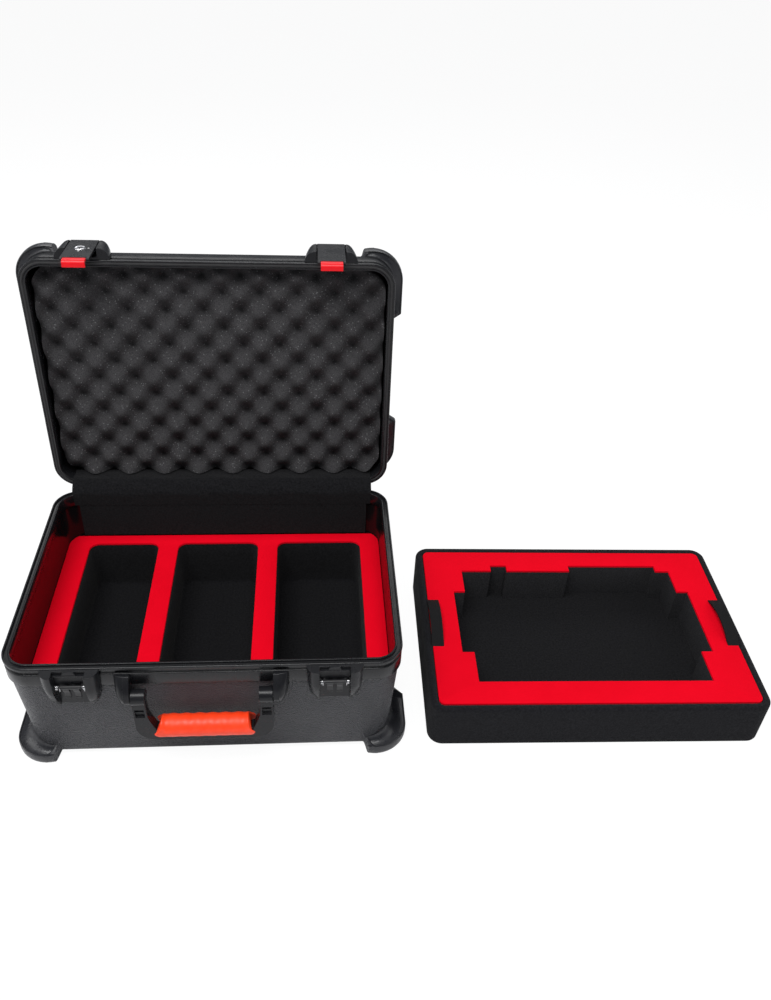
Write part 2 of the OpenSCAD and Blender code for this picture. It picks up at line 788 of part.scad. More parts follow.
module tab_pin() { rod_x(-lever_w / 2 + 0.4, lever_w / 2 - 0.4, tab_y, tab_z, tab_pin_r); }
module tab_pin_left() { color(CHROME) at_latch(-1) tab_pin(); }
module tab_pin_right() { color(CHROME) at_latch(1) tab_pin(); }

// ---- handle ----

handle_y = front_y - handle_out;
knuckle_r = 9;
knuckle_w = 15;
arm_x = handle_span / 2 - 0.6;
grip_z = handle_z - handle_drop;
bar_t = 12;
bar_h = 17.5;
bar_low = grip_z - grip_r - 5;
handle_pin_in = 9;   // how far a pivot pin reaches into its bracket
bracket_up = 25;     // how far a bracket reaches above the pivot
bracket_down = 26;   // and below it
screw_up = 2;        // height of the bracket screws above the pivot
screw_down = 18;     // and below it
waist_up = 28;       // height above the grip where the handle's arms begin to widen

module at_handle() {
    translate([-handle_left, 0, 0]) children();
}
// A bracket is a nose round the pivot pin, with a rounded cheek outside it
module bracket() {
    x0 = handle_span / 2;
    top = handle_z + bracket_up;
    low = handle_z - bracket_down;
    mid = handle_z - 12;
    pivot_low = handle_z - 1;
    nose_r = 8;
    nose_w = 6.5;
    difference() {
        union() {
            bar_x(x0, x0 + nose_w) {
                polygon([[front_y - seat, top], [front_y - 5, top], [handle_y - nose_r + 2, handle_z + 9],
                    [handle_y - nose_r + 0.4, handle_z - 3], [-wall_y(low) - 4, low], [-wall_y(low) - seat, low],
                    [-wall_y(skirt_z) - seat, skirt_z], [front_y - seat, skirt_z]]);
                translate([handle_y, handle_z]) circle(nose_r);
            }
            cheek(x0 + nose_w - 1, [low, mid, pivot_low, skirt_z, top],
                [-wall_y(low) - seat, -wall_y(mid) - seat, -wall_y(pivot_low) - seat, front_y - seat,
                    front_y - seat],
                [-wall_y(low) - 3, handle_y - 1, handle_y - nose_r + 2, handle_y - nose_r + 2.5, front_y - 4.5],
                [x0 + nose_w + 2, x0 + bracket_w - 4.5, x0 + bracket_w - 1, x0 + bracket_w, x0 + bracket_w]);
        }
        rod_x(x0 - 1, x0 + handle_pin_in, handle_y, handle_z, handle_pin_r + run);
    }
}
module handle_bracket_right() { color(DARK) at_handle() bracket(); }
module handle_bracket_left() { color(DARK) at_handle() mirror([1, 0, 0]) bracket(); }
module handle_pins() {
    color(CHROME)
        at_handle()
            both_sides()
                rod_x(arm_x - knuckle_w + 1, handle_span / 2 + handle_pin_in - 0.5,
                    handle_y, handle_z, handle_pin_r);
}
// The brackets' screws go in from inside the case
module bracket_screws() {
    head_r = 4;
    color(BLACK)
        at_handle()
            both_sides()
                for (z = [handle_z - screw_down, handle_z + screw_up])
                    translate([handle_span / 2 + 8, -wall_y(z - head_r) + wall_t, z])
                        rotate([-90, 0, 0])
                            difference() {
                                cylinder(h = 1.8, r1 = head_r, r2 = head_r - 1);
                                translate([0, 0, 0.8]) cylinder(h = 2, r = 1.6, $fn = 6);
                            }
}
// The frame is a U: two arms with pivot knuckles, and a bar inside the grip
module handle_frame() {
    corner = 22;
    arm_w = 14.5;
    inner = arm_x - arm_w;
    bar_end = grip_len / 2 - 3;
    clip_w = 10;
    clip_z = grip_z + 20.5;
    clip_h = 13;
    clip_deep = 3;
    color(BLACK)
        at_handle() {
            difference() {
                union() {
                    both_sides()
                        rod_x(arm_x - knuckle_w, arm_x, handle_y, handle_z, knuckle_r);
                    translate([0, handle_y + bar_t / 2, 0])
                        rotate([90, 0, 0])
                            linear_extrude(bar_t)
                                difference() {
                                    union() {
                                        translate([-arm_x, bar_low + corner])
                                            square([2 * arm_x, handle_z - bar_low - corner]);
                                        translate([-arm_x + corner, bar_low])
                                            square([2 * arm_x - 2 * corner, corner + 1]);
                                        for (s = [-1, 1])
                                            translate([s * (arm_x - corner), bar_low + corner]) circle(corner);
                                    }
                                    polygon([[-inner, handle_z + knuckle_r], [-inner, grip_z + waist_up],
                                        [-inner + 3, grip_z + 12], [-bar_end, bar_low + bar_h],
                                        [bar_end, bar_low + bar_h], [inner - 3, grip_z + 12],
                                        [inner, grip_z + waist_up], [inner, handle_z + knuckle_r]]);
                                }
                }
                both_sides()
                    rod_x(arm_x - knuckle_w - 1, arm_x + 1, handle_y, handle_z, handle_pin_r + run);
                both_sides()
                    translate([arm_x - (arm_w + clip_w) / 2, handle_y - bar_t / 2 - 1, clip_z])
                        cube([clip_w, clip_deep + 1, clip_h]);
            }
            both_sides()
                translate([arm_x - (arm_w + clip_w) / 2 - eps, handle_y - bar_t / 2 + 1, clip_z + clip_h * 0.6])
                    cube([clip_w + 2 * eps, clip_deep, 1.4]);
        }
}
// Radius of the grip along its length, with a wave for each finger
function grip_at(x) =
    let (half = grip_len / 2, t = abs(x) / half, finger = grip_len * 0.8 / 7)
    grip_r - 0.9 + (t < 0.8 ? -0.9 * cos(360 * x / finger) : 0.9 * (t - 0.8) / 0.2);
// The grip's outline from the front: a narrow top and a flared foot
module grip_outline() {
    half = grip_len / 2;
    side = [[half - 7.7, grip_z + grip_r + 1], [half - 7.5, grip_z + 9], [half - 6.2, grip_z + 3],
        [half - 3.5, grip_z - 3], [half - 0.5, grip_z - 6], [half, grip_z - 7.3], [half - 0.8, grip_z - 9],
        [half - 6, grip_z - grip_r - 1]];
    polygon(concat(side, [for (i = [len(side) - 1:-1:0]) [-side[i][0], side[i][1]]]));
}
module handle_grip() {
    steps = 60;
    half = grip_len / 2;
    color(ORANGE)
        at_handle()
            difference() {
                intersection() {
                    translate([0, handle_y, grip_z])
                        rotate([0, 90, 0])
                            rotate_extrude($fn = 48)
                                polygon(concat([[0, -half]],
                                    [for (i = [0:steps])
                                        let (x = -half + grip_len * i / steps) [grip_at(x), x]],
                                    [[0, half]]));
                    translate([0, handle_y + 2 * grip_r, 0])
                        rotate([90, 0, 0])
                            linear_extrude(4 * grip_r)
                                grip_outline();
                }
                translate([-half - 1, handle_y - bar_t / 2 - fit, bar_low - 1])
                    cube([grip_len + 2, bar_t + 2 * fit, bar_h + 1 + fit]);
            }
}
// ---- lid, drawn shut and carried to its open place ----

module lid_shell() {
    color(DARK)
        lid_pose()
            translate([0, 0, lid_z + lid_h])
                mirror([0, 0, 1])
                    shell_body(lid_h, [lid_lean, lid_lean], bumper_lid_h, bumper_lid_h);
}

module lid_rim() {
    color(BLACK)
        lid_pose()
            difference() {
                translate([0, 0, lid_z]) mirror([0, 0, 1]) rim_profile();
                seal_ring(seal_w, lid_z - 1, lid_z + 3);
            }
}

module rim_seal() {
    color(BLACK)
        lid_pose()
            seal_ring(seal_w, lid_z - seam_gap + fit, lid_z + 3);
}

foam_seat = 0.7;     // between the foam's back and the lid

// Convoluted foam: a height field of staggered peaks and pits
module lid_foam() {
    foam_w = open_w - 2 * foam_margin - 4;
    foam_d = open_d - 2 * foam_margin - 4;
    cells = [round(4 * foam_w / foam_pitch), round(4 * foam_d / foam_pitch)];
    back = lid_z + lid_depth - wall_t - foam_seat;
    mid = lid_z + foam_gap + foam_pit / 2;
    soft = 0.85;
    round_r = 27;
    half = [foam_w / 2, foam_d / 2];
    // A corner's square is pulled in to a quarter circle
    function pulled(x, y) =
        let (d = [abs(x) - half[0] + round_r, abs(y) - half[1] + round_r])
        d[0] <= 0 || d[1] <= 0 ? [x, y]
            : let (p = half - [round_r, round_r] + d * max(d) / norm(d)) [sign(x) * p[0], sign(y) * p[1]];
    function at(i, j) = pulled(foam_w * (i / cells[0] - 0.5), foam_d * (j / cells[1] - 0.5));
    function pz(i, j) = mid - foam_pit / 2 * soft * cos(90 * (i + 1)) * cos(90 * (j + 1));
    function top(i, j) = j * (cells[0] + 1) + i;
    n = (cells[0] + 1) * (cells[1] + 1);
    edge = concat(
        [for (i = [0:cells[0] - 1]) [i, 0]], [for (j = [0:cells[1] - 1]) [cells[0], j]],
        [for (i = [cells[0]:-1:1]) [i, cells[1]]], [for (j = [cells[1]:-1:1]) [0, j]]);
    m = len(edge);
    hub = n + m;
    color(CHARCOAL)
        lid_pose()
            polyhedron(
                concat([for (j = [0:cells[1]], i = [0:cells[0]]) concat(at(i, j), pz(i, j))],
                    [for (e = edge) concat(at(e[0], e[1]), back)],
                    [[0, 0, back]]),
                concat(
                    [for (j = [0:cells[1] - 1], i = [0:cells[0] - 1])
                        [top(i, j), top(i + 1, j), top(i + 1, j + 1)]],
                    [for (j = [0:cells[1] - 1], i = [0:cells[0] - 1])
                        [top(i, j), top(i + 1, j + 1), top(i, j + 1)]],
                    [for (k = [0:m - 1]) let (e = edge[k], f = edge[(k + 1) % m])
                        [top(e[0], e[1]), n + k, top(f[0], f[1])]],
                    [for (k = [0:m - 1]) let (f = edge[(k + 1) % m])
                        [n + k, n + (k + 1) % m, top(f[0], f[1])]],
                    [for (k = [0:m - 1]) [n + (k + 1) % m, n + k, hub]]));
}

module lid_lining() {
    color(FLEECE)
        lid_pose()
            translate([-lining_w / 2, shell_d / 2 - wall_t - lid_lean - fit - fleece_t, lid_z + flap_run + 1])
                cube([lining_w, fleece_t, lid_depth - flap_run - 1 - edge_r]);
}

// ---- tray ----

module tray_pose() {
    translate([tray_x, -tray_back, 0]) rotate([0, 0, -tray_turn]) children();
}

inner_w = tray_w - 2 * tray_t;
inner_d = tray_d - 2 * tray_t;
inner_r = tray_r - tray_t;

// Outline of the recess: the main field, two hand notches at its sides and
// two cable notches at its back
module recess_outline() {
    side_notch = 15;
    side_len = recess_d * 0.55;
    back_notch = 10.5;
    small_w = recess_w * 0.076;
    large_w = recess_w * 0.42;
    back = recess_d / 2;
    translate([0, -2]) {
        square([recess_w, recess_d], center = true);
        translate([0, 3.5]) square([recess_w + 2 * side_notch, side_len], center = true);
        translate([-recess_w * 0.36, back - 1]) square([small_w, back_notch + 1]);
        translate([recess_w * 0.017, back - 1]) square([large_w, back_notch + 1]);
    }
}

module tray_wall() {
    color(BLACK)
        tray_pose()
            difference() {
                slab(tray_w, tray_d, tray_r, 0, tray_h);
                slab(inner_w, inner_d, inner_r, tray_floor, tray_h + 1);
            }
}
recess_z = tray_h - recess_deep;

module tray_foam() {
    color(CHARCOAL)
        tray_pose()
            difference() {
                slab(inner_w - 2 * seat, inner_d - 2 * seat, inner_r - seat, tray_floor, tray_h - facing_t);
                translate([0, 0, recess_z - fleece_t])
                    linear_extrude(tray_h)
                        recess_outline();
            }
}

module tray_facing() {
    color(RED)
        tray_pose()
            difference() {
                slab(inner_w - 2 * seat, inner_d - 2 * seat, inner_r - seat, tray_h - facing_t, tray_h);
                translate([0, 0, recess_z])
                    linear_extrude(tray_h)
                        recess_outline();
            }
}

module tray_lining() {
    color(FLEECE)
        tray_pose()
            translate([0, 0, recess_z - fleece_t])
                linear_extrude(fleece_t)
                    recess_outline();
}

module pull_strap(side) {
    half = strap_len / 2;
    arc_r = (half * half + strap_rise * strap_rise) / (2 * strap_rise);
    strap_x = side * (inner_w / 2 - strap_w / 2 + 1);
    tray_pose()
        bar_x(strap_x - strap_w / 2, strap_x + strap_w / 2)
            intersection() {
                translate([-2, tray_h + strap_rise - arc_r])
                    difference() {
                        circle(arc_r, $fn = 180);
                        circle(arc_r - strap_t, $fn = 180);
                    }
                translate([-strap_len, tray_h]) square([2 * strap_len, strap_rise + 1]);
            }
}

module pull_strap_left() { color(FLEECE) pull_strap(-1); }
module pull_strap_right() { color(FLEECE) pull_strap(1); }

base_shell();
base_rim();
base_foam();
base_foam_facing();
pocket_linings();
rear_lining();
hinge_flap();
hinge_leaf_base();
hinge_rivets_base();
hinge_pin();
keeper_left();
keeper_right();
catch_left();
catch_right();
catch_pins();
catch_springs();
handle_bracket_left();
handle_bracket_right();
handle_pins();
bracket_screws();
handle_frame();
handle_grip();
lid_shell();
lid_rim();
rim_seal();
lid_foam();
lid_lining();
hinge_leaf_lid();
hinge_rivets_lid();
latch_housing_left();
latch_housing_right();
latch_pins();
latch_lever_left();
latch_lever_right();
lock_cylinder();
release_tab_left();
release_tab_right();
tab_pin_left();
tab_pin_right();
tray_wall();
tray_foam();
tray_facing();
tray_lining();
pull_strap_left();
pull_strap_right();
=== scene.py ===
import math
import bmesh
import bpy
from mathutils import Matrix, Vector


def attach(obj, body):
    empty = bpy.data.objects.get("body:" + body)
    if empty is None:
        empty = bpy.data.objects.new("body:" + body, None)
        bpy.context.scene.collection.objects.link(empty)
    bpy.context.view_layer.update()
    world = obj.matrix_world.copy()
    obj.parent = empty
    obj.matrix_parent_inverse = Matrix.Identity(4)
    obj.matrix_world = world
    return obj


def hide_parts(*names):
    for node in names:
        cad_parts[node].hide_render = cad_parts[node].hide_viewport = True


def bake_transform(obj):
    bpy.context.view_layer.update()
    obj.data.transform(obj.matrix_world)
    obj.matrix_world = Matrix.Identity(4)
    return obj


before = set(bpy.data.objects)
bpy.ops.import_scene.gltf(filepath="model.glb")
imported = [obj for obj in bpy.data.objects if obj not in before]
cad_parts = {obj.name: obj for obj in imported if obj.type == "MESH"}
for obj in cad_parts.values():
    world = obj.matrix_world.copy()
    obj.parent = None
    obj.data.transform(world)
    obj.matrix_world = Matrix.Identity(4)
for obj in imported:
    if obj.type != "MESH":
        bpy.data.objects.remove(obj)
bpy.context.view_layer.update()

# Camera: a little above and to the right of the case's middle, looking down
# at the open case and the tray beside it, level but for a slight tilt.
YAW, PITCH, ROLL = -0.1021, 0.6722, -0.0576
EYE = (0.11872, -0.80504, 0.90785)
right = Vector((math.cos(YAW), math.sin(YAW), 0))
ahead = Vector((-math.sin(YAW) * math.cos(PITCH), math.cos(YAW) * math.cos(PITCH), -math.sin(PITCH)))
down = ahead.cross(right)
cam_x = math.cos(ROLL) * right + math.sin(ROLL) * down
cam_y = math.sin(ROLL) * right - math.cos(ROLL) * down
lens = bpy.data.cameras.new("camera")
lens.sensor_fit = "VERTICAL"
lens.sensor_height = 24
lens.lens = 21.6
camera = bpy.data.objects.new("camera", lens)
bpy.context.scene.collection.objects.link(camera)
camera.matrix_world = Matrix((
    (cam_x[0], cam_y[0], -ahead[0], EYE[0]),
    (cam_x[1], cam_y[1], -ahead[1], EYE[1]),
    (cam_x[2], cam_y[2], -ahead[2], EYE[2]),
    (0, 0, 0, 1)))
bpy.context.scene.camera = camera
bpy.context.scene.view_settings.view_transform = "Standard"

# Studio: a pale floor, a large soft light above the front, one on each side
# and a low one behind, with an even white surround.


def node(tree, kind, **values):
    """A shader node; values name its properties or its inputs."""
    n = tree.nodes.new(kind)
    for key, value in values.items():
        key = key.replace("_", " ") if key.replace("_", " ") in n.inputs else key
        if key in n.inputs:
            n.inputs[key].default_value = value
        else:
            setattr(n, key, value)
    return n


def area_light(name, place, target, size, power):
    data = bpy.data.lights.new(name, "AREA")
    data.shape = "RECTANGLE"
    data.size, data.size_y = size
    data.energy = power
    lamp = bpy.data.objects.new(name, data)
    bpy.context.scene.collection.objects.link(lamp)
    lamp.location = place
    lamp.rotation_euler = (Vector(target) - Vector(place)).to_track_quat("-Z", "Y").to_euler()
    return lamp


area_light("key", (-0.2, -0.75, 2.1), (0.15, 0.05, 0.1), (1.7, 0.9), 52)
area_light("left", (-1.7, -0.2, 1.0), (0.0, 0.0, 0.15), (1.2, 1.6), 15)
area_light("right", (2.2, -0.2, 1.1), (0.2, 0.0, 0.15), (1.2, 1.6), 15)
area_light("back", (0.2, 1.6, 1.5), (0.2, 0.0, 0.2), (2.4, 0.8), 14)

world = bpy.data.worlds.new("surround")
bpy.context.scene.world = world
world.use_nodes = True
tree = world.node_tree
tree.nodes.clear()
path = node(tree, "ShaderNodeLightPath")
lit = node(tree, "ShaderNodeBackground", Color=(0.84, 0.88, 0.95, 1), Strength=0.2)
seen = node(tree, "ShaderNodeBackground", Color=(1, 1, 1, 1), Strength=1.0)
pick = node(tree, "ShaderNodeMixShader")
out = node(tree, "ShaderNodeOutputWorld")
tree.links.new(path.outputs["Is Camera Ray"], pick.inputs[0])
tree.links.new(lit.outputs[0], pick.inputs[1])
tree.links.new(seen.outputs[0], pick.inputs[2])
tree.links.new(pick.outputs[0], out.inputs[0])

floor_mat = bpy.data.materials.new("studio_floor")
floor_mat.use_nodes = True
tree = floor_mat.node_tree
tree.nodes.clear()
path = node(tree, "ShaderNodeLightPath")
paper = node(tree, "ShaderNodeBsdfDiffuse", Color=(0.8, 0.8, 0.81, 1))
white = node(tree, "ShaderNodeEmission", Color=(1, 1, 1, 1), Strength=1.06)
share = node(tree, "ShaderNodeMath", operation="MULTIPLY")
share.inputs[1].default_value = 0.88
pick = node(tree, "ShaderNodeMixShader")
out = node(tree, "ShaderNodeOutputMaterial")
tree.links.new(path.outputs["Is Camera Ray"], share.inputs[0])
tree.links.new(share.outputs[0], pick.inputs[0])
tree.links.new(paper.outputs[0], pick.inputs[1])
tree.links.new(white.outputs[0], pick.inputs[2])
tree.links.new(pick.outputs[0], out.inputs[0])
sheet_mesh = bpy.data.meshes.new("studio_floor")
FLOOR_HALF, FLOOR_Z = 30, -0.0004
corners = [(x * FLOOR_HALF, y * FLOOR_HALF, FLOOR_Z) for x, y in ((-1, -1), (1, -1), (1, 1), (-1, 1))]
sheet_mesh.from_pydata(corners, [], [(0, 1, 2, 3)])
sheet_mesh.materials.append(floor_mat)
floor = bpy.data.objects.new("studio_floor", sheet_mesh)
bpy.context.scene.collection.objects.link(floor)

# Base shell: one moulding in black pebbled plastic, walls leaning in to the
# floor, round below, with four hollow-faced bumpers moulded into its corners.
# The inside is smooth and shiny.
MM = 0.001
CASE_W, CASE_D, CORNER_R = 434, 307, 30
BASE_H, LID_H, FOOT, WALL, EDGE_R = 160, 50, 3, 4, 12
RIM_H, RIM_W, RIM_CAP, RIM_PROUD = 27.5, 8.5, 11, 3
SEAM = 1
LID_Z = BASE_H + SEAM
HINGE = (CASE_D / 2 + 4, BASE_H + SEAM / 2)
LID_OPEN = 94
SHELL_R = CORNER_R - RIM_PROUD


def material(name, color, roughness, metallic=0.0, specular=0.5, sheen=0.0, coat=0.0):
    """A Principled material with object coordinates ready for its pattern."""
    mat = bpy.data.materials.new(name)
    mat.use_nodes = True
    t = mat.node_tree
    b = t.nodes["Principled BSDF"]
    b.inputs["Base Color"].default_value = (*color, 1)
    b.inputs["Roughness"].default_value = roughness
    b.inputs["Metallic"].default_value = metallic
    b.inputs["Specular IOR Level"].default_value = specular
    b.inputs["Sheen Weight"].default_value = sheen
    b.inputs["Sheen Roughness"].default_value = 0.6
    b.inputs["Coat Weight"].default_value = coat
    coords = node(t, "ShaderNodeTexCoord")
    return mat, t, b, coords.outputs["Object"]


def noise(t, coords, scale, detail=3.0, rough=0.55, stretch=None):
    if stretch:
        m = node(t, "ShaderNodeMapping", Scale=stretch)
        t.links.new(coords, m.inputs["Vector"])
        coords = m.outputs["Vector"]
    n = node(t, "ShaderNodeTexNoise", Scale=scale, Detail=detail, Roughness=rough)
    t.links.new(coords, n.inputs["Vector"])
    return n.outputs["Fac"]


def cells(t, coords, scale, feature="F1", smooth=None):
    n = node(t, "ShaderNodeTexVoronoi", Scale=scale)
    n.feature = feature
    if smooth is not None:
        n.inputs["Smoothness"].default_value = smooth
    t.links.new(coords, n.inputs["Vector"])
    return n.outputs["Distance"]


def remap(t, value, low, high, to_low, to_high):
    n = node(t, "ShaderNodeMapRange")
    for key, v in (("From Min", low), ("From Max", high), ("To Min", to_low), ("To Max", to_high)):
        n.inputs[key].default_value = v
    t.links.new(value, n.inputs["Value"])
    return n.outputs["Result"]


def blend_value(t, a, b, kind="ADD"):
    n = node(t, "ShaderNodeMath", operation=kind)
    for k, v in enumerate((a, b)):
        if isinstance(v, (int, float)):
            n.inputs[k].default_value = v
        else:
            t.links.new(v, n.inputs[k])
    return n.outputs[0]


def tint(t, factor, dark, light):
    n = node(t, "ShaderNodeMix")
    n.data_type = "RGBA"
    n.inputs["A"].default_value = (*dark, 1)
    n.inputs["B"].default_value = (*light, 1)
    t.links.new(factor, n.inputs["Factor"])
    # the colour result is the last output of a Mix node
    return n.outputs[2]


def bump(t, b, height, strength, distance, under=None):
    n = node(t, "ShaderNodeBump", Strength=strength, Distance=distance)
    t.links.new(height, n.inputs["Height"])
    if under:
        t.links.new(under, n.inputs["Normal"])
    t.links.new(n.outputs["Normal"], b.inputs["Normal"])
    return n.outputs["Normal"]


def colour(b, value):
    b.id_data.links.new(value, b.inputs["Base Color"])


def gloss(b, value):
    b.id_data.links.new(value, b.inputs["Roughness"])


def tint_by(t, factor, color, low):
    """The colour, darkened to low where factor is 1."""
    n = node(t, "ShaderNodeMix")
    n.data_type, n.blend_type = "RGBA", "MULTIPLY"
    n.inputs["B"].default_value = (low, low, low, 1)
    t.links.new(color, n.inputs["A"])
    t.links.new(factor, n.inputs["Factor"])
    return n.outputs[2]


def open_matrix():
    y, z = HINGE
    return (Matrix.Translation((0, y, z)) @ Matrix.Rotation(math.radians(-LID_OPEN), 4, "X")
            @ Matrix.Translation((0, -y, -z)))


def tray_matrix():
    return Matrix.Translation((465, -6, 0)) @ Matrix.Rotation(math.radians(-1.3), 4, "Z")


def make(name, bm, body, mats, replaces=(), place=None, crease=32, ride=True):
    """Turns a bmesh drawn in millimetres into a piece of the object."""
    bm.normal_update()
    if place is not None:
        bm.transform(place)
    bm.transform(Matrix.Scale(MM, 4))
    mesh = bpy.data.meshes.new(name)
    bm.to_mesh(mesh)
    bm.free()
    for m in mats:
        mesh.materials.append(m)
    mesh.polygons.foreach_set("use_smooth", [True] * len(mesh.polygons))
    mesh.set_sharp_from_angle(angle=math.radians(crease))
    ob = bpy.data.objects.new(name, mesh)
    bpy.context.scene.collection.objects.link(ob)
    if ride:
        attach(ob, body)
    if replaces:
        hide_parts(*replaces)
    return ob


def grid_faces(bm, rows, close_rows=False, close_cols=False, mat=None):
    """Quads between rows of vertices."""
    n, m = len(rows), len(rows[0])
    for i in range(n if close_rows else n - 1):
        for j in range(m if close_cols else m - 1):
            a, b = rows[i][j], rows[i][(j + 1) % m]
            c, d = rows[(i + 1) % n][(j + 1) % m], rows[(i + 1) % n][j]
            ring = [v for k, v in enumerate((a, b, c, d)) if v not in (a, b, c, d)[:k]]
            if len(ring) > 2:
                try:
                    f = bm.faces.new(ring)
                except ValueError:
                    continue
                if mat is not None:
                    f.material_index = mat(i, j)


def shell_stations(lean, h_front, h_side, steps=20):
    """Stations round a quarter of the wall: wall point, outward direction,
    sides that lean, lip point, height on the wall, depth of the dish."""
    wall = (CASE_W / 2 - RIM_PROUD - lean[0], CASE_D / 2 - RIM_PROUD - lean[1])
    lip = (CASE_W / 2 + 12 - 38, CASE_D / 2 + 3.5 - 38)
    at = (wall[0] - SHELL_R, wall[1] - SHELL_R)
    out = [((lip[0] - 60, wall[1]), (0, 1), (0, 1), None, 0, 0),
           ((lip[0] - 15, wall[1]), (0, 1), (0, 1), None, 0, 0)]
    for k, (x, y, depth) in enumerate(((-12.8, -0.7, 0.0), (-11.6, -0.1, 0.3), (-10.4, 0.0, 1.0))):
        u = (k + 1) / 3
        lip_point = (lip[0] + x + 13 * u, lip[1] + 38 + y)
        out.append(((lip[0] + x, wall[1]), (0, 1), (0, 1), lip_point, h_front, depth))
    for i in range(steps + 1):
        a = math.radians(90 * (1 - i / steps))
        n = (math.cos(a), math.sin(a))
        f = i / steps
        out.append(((at[0] + SHELL_R * n[0], at[1] + SHELL_R * n[1]), n, (1, 1),
                    (lip[0] + 38 * n[0], lip[1] + 38 * n[1]), h_front + (h_side - h_front) * f ** 1.6, 1.0))
    out.append(((wall[0], lip[1] - 34), (1, 0), (1, 0), (lip[0] + 38, lip[1] - 36), h_side, 1.0))
    out.append(((wall[0], lip[1] - 40), (1, 0), (1, 0), (lip[0] + 38, lip[1] - 42), h_side, 0.3))
    out.append(((wall[0], lip[1] - 48), (1, 0), (1, 0), (lip[0] + 24, lip[1] - 52), h_side * 0.97, 0.0))
    out.append(((wall[0], lip[1] - 56), (1, 0), (1, 0), None, 0, 0))
    out.append(((wall[0], 30), (1, 0), (1, 0), None, 0, 0))
    return out


def shell_profile(station, total, side_h):
    """Outside of one station from the wall's top to the underside, then the
    inside from its top to the middle of the floor."""
    w, n, m, o, h, depth = station
    edge = FOOT + EDGE_R
    z1, top = total - RIM_H, total - RIM_CAP
    outside = [(0, top, n), (0, z1, n)]
    if o:
        reach = math.hypot(o[0] - w[0], o[1] - w[1])
        d = ((o[0] - w[0]) / reach, (o[1] - w[1]) / reach)
        lip = min(13, h - 5)
        outside += [(0, h + (z1 - h) * 0.5, n), (0, h + min(0.6, (z1 - h) * 0.3), n)]
        for k in range(12):
            a = math.radians(90 * k / 11)
            x, z = (reach - 2.2) * (1 - math.cos(a)), lip + (h - lip) * (1 - math.sin(a))
            line = h + (lip + 1.2 - h) * (x / reach) ** 0.8
            outside.append((x, line + (z - line) * depth, d))
        outside += [(reach - 2.0, lip + 0.6, d), (reach - 1.6, lip + 1.1, d), (reach - 0.9, lip + 1.2, d),
                    (reach - 0.25, lip + 0.8, d), (reach, lip, d), (reach, 6, d), (reach - 0.3, 3.6, d),
                    (reach - 1.2, 1.6, d), (reach - 2.8, 0.4, d), (reach - 4.6, 0, d)]
    else:
        outside.append((0, (side_h + z1) / 2, n))
        outside += [(0, edge + (side_h - edge) * (1 - k / 8), n) for k in range(9)]
        for k in range(1, 15):
            a = math.radians(90 * k / 14)
            outside.append((-EDGE_R * (1 - math.cos(a)), edge - EDGE_R * math.sin(a), n))
    outside += [(-13, 0 if o else FOOT, n), (-14, FOOT, n)]
    inner = EDGE_R - WALL
    inside = [(-WALL, top, n), (-WALL, z1, n), (-WALL, edge, n)]
    for k in range(1, 7):
        a = math.radians(15 * k)
        inside.append((-WALL - inner * (1 - math.cos(a)), edge - inner * math.sin(a), n))
    return outside, inside


def shell(total, lean, h_front, h_side):
    """The whole skin of a shell, opening at z = total, as a bmesh."""
    quarter = shell_stations(lean, h_front, h_side)

    def mirrored(stations, kx, ky):
        flip = lambda p: None if p is None else (p[0] * kx, p[1] * ky)
        return [(flip(w), flip(n), flip(m), flip(o), h, depth) for w, n, m, o, h, depth in stations]
    ring = (quarter + mirrored(quarter, 1, -1)[::-1] + mirrored(quarter, -1, -1)
            + mirrored(quarter, -1, 1)[::-1])
    bm = bmesh.new()
    edge, z1 = FOOT + EDGE_R, total - RIM_H
    outer_rows, inner_rows = [], []
    for s in ring:
        outside, inside = shell_profile(s, total, h_side)
        rows = []
        for part in (outside, inside):
            row = []
            for x, z, d in part:
                t = min(1, max(0, (z - edge) / (z1 - edge)))
                row.append(bm.verts.new((s[0][0] + d[0] * x + s[2][0] * lean[0] * t,
                                         s[0][1] + d[1] * x + s[2][1] * lean[1] * t, z)))
            rows.append(row)
        outer_rows.append(rows[0])
        inner_rows.append(rows[1])
    bumper = [s[3] is not None and ring[(i + 1) % len(ring)][3] is not None for i, s in enumerate(ring)]
    grid_faces(bm, outer_rows, close_rows=True, mat=lambda i, j: 2 if bumper[i] and j > 3 else 0)
    grid_faces(bm, [r[::-1] for r in inner_rows], close_rows=True, mat=lambda i, j: 1)
    edge_rows = [[i[0], o[0]] for i, o in zip(inner_rows, outer_rows)]
    grid_faces(bm, edge_rows, close_rows=True, mat=lambda i, j: 0)
    bm.faces.new([r[-1] for r in outer_rows]).material_index = 0
    bm.faces.new([r[-1] for r in inner_rows[::-1]]).material_index = 1
    bmesh.ops.recalc_face_normals(bm, faces=bm.faces)
    return bm


shell_mat, t, b, xyz = material("pebbled_plastic", (0.020, 0.0205, 0.024), 0.36)
pebble = cells(t, xyz, 620, "SMOOTH_F1", 0.35)
swirl = noise(t, xyz, 260, 3, 0.6)
both = blend_value(t, remap(t, pebble, 0.0, 0.9, 1.0, 0.0), blend_value(t, swirl, 0.7, "MULTIPLY"))
fine = bump(t, b, noise(t, xyz, 2600, 2), 0.12, 0.0002)
leather = noise(t, xyz, 330, 3, 0.6, stretch=(1.0, 1.0, 1.7))
coarse = bump(t, b, leather, 0.95, 0.0032, fine)
bump(t, b, both, 0.8, 0.0015, coarse)
gloss(b, remap(t, noise(t, xyz, 14, 4), 0.3, 0.7, 0.3, 0.44))
colour(b, tint(t, noise(t, xyz, 9, 3), (0.019, 0.0195, 0.0235), (0.031, 0.0315, 0.037)))

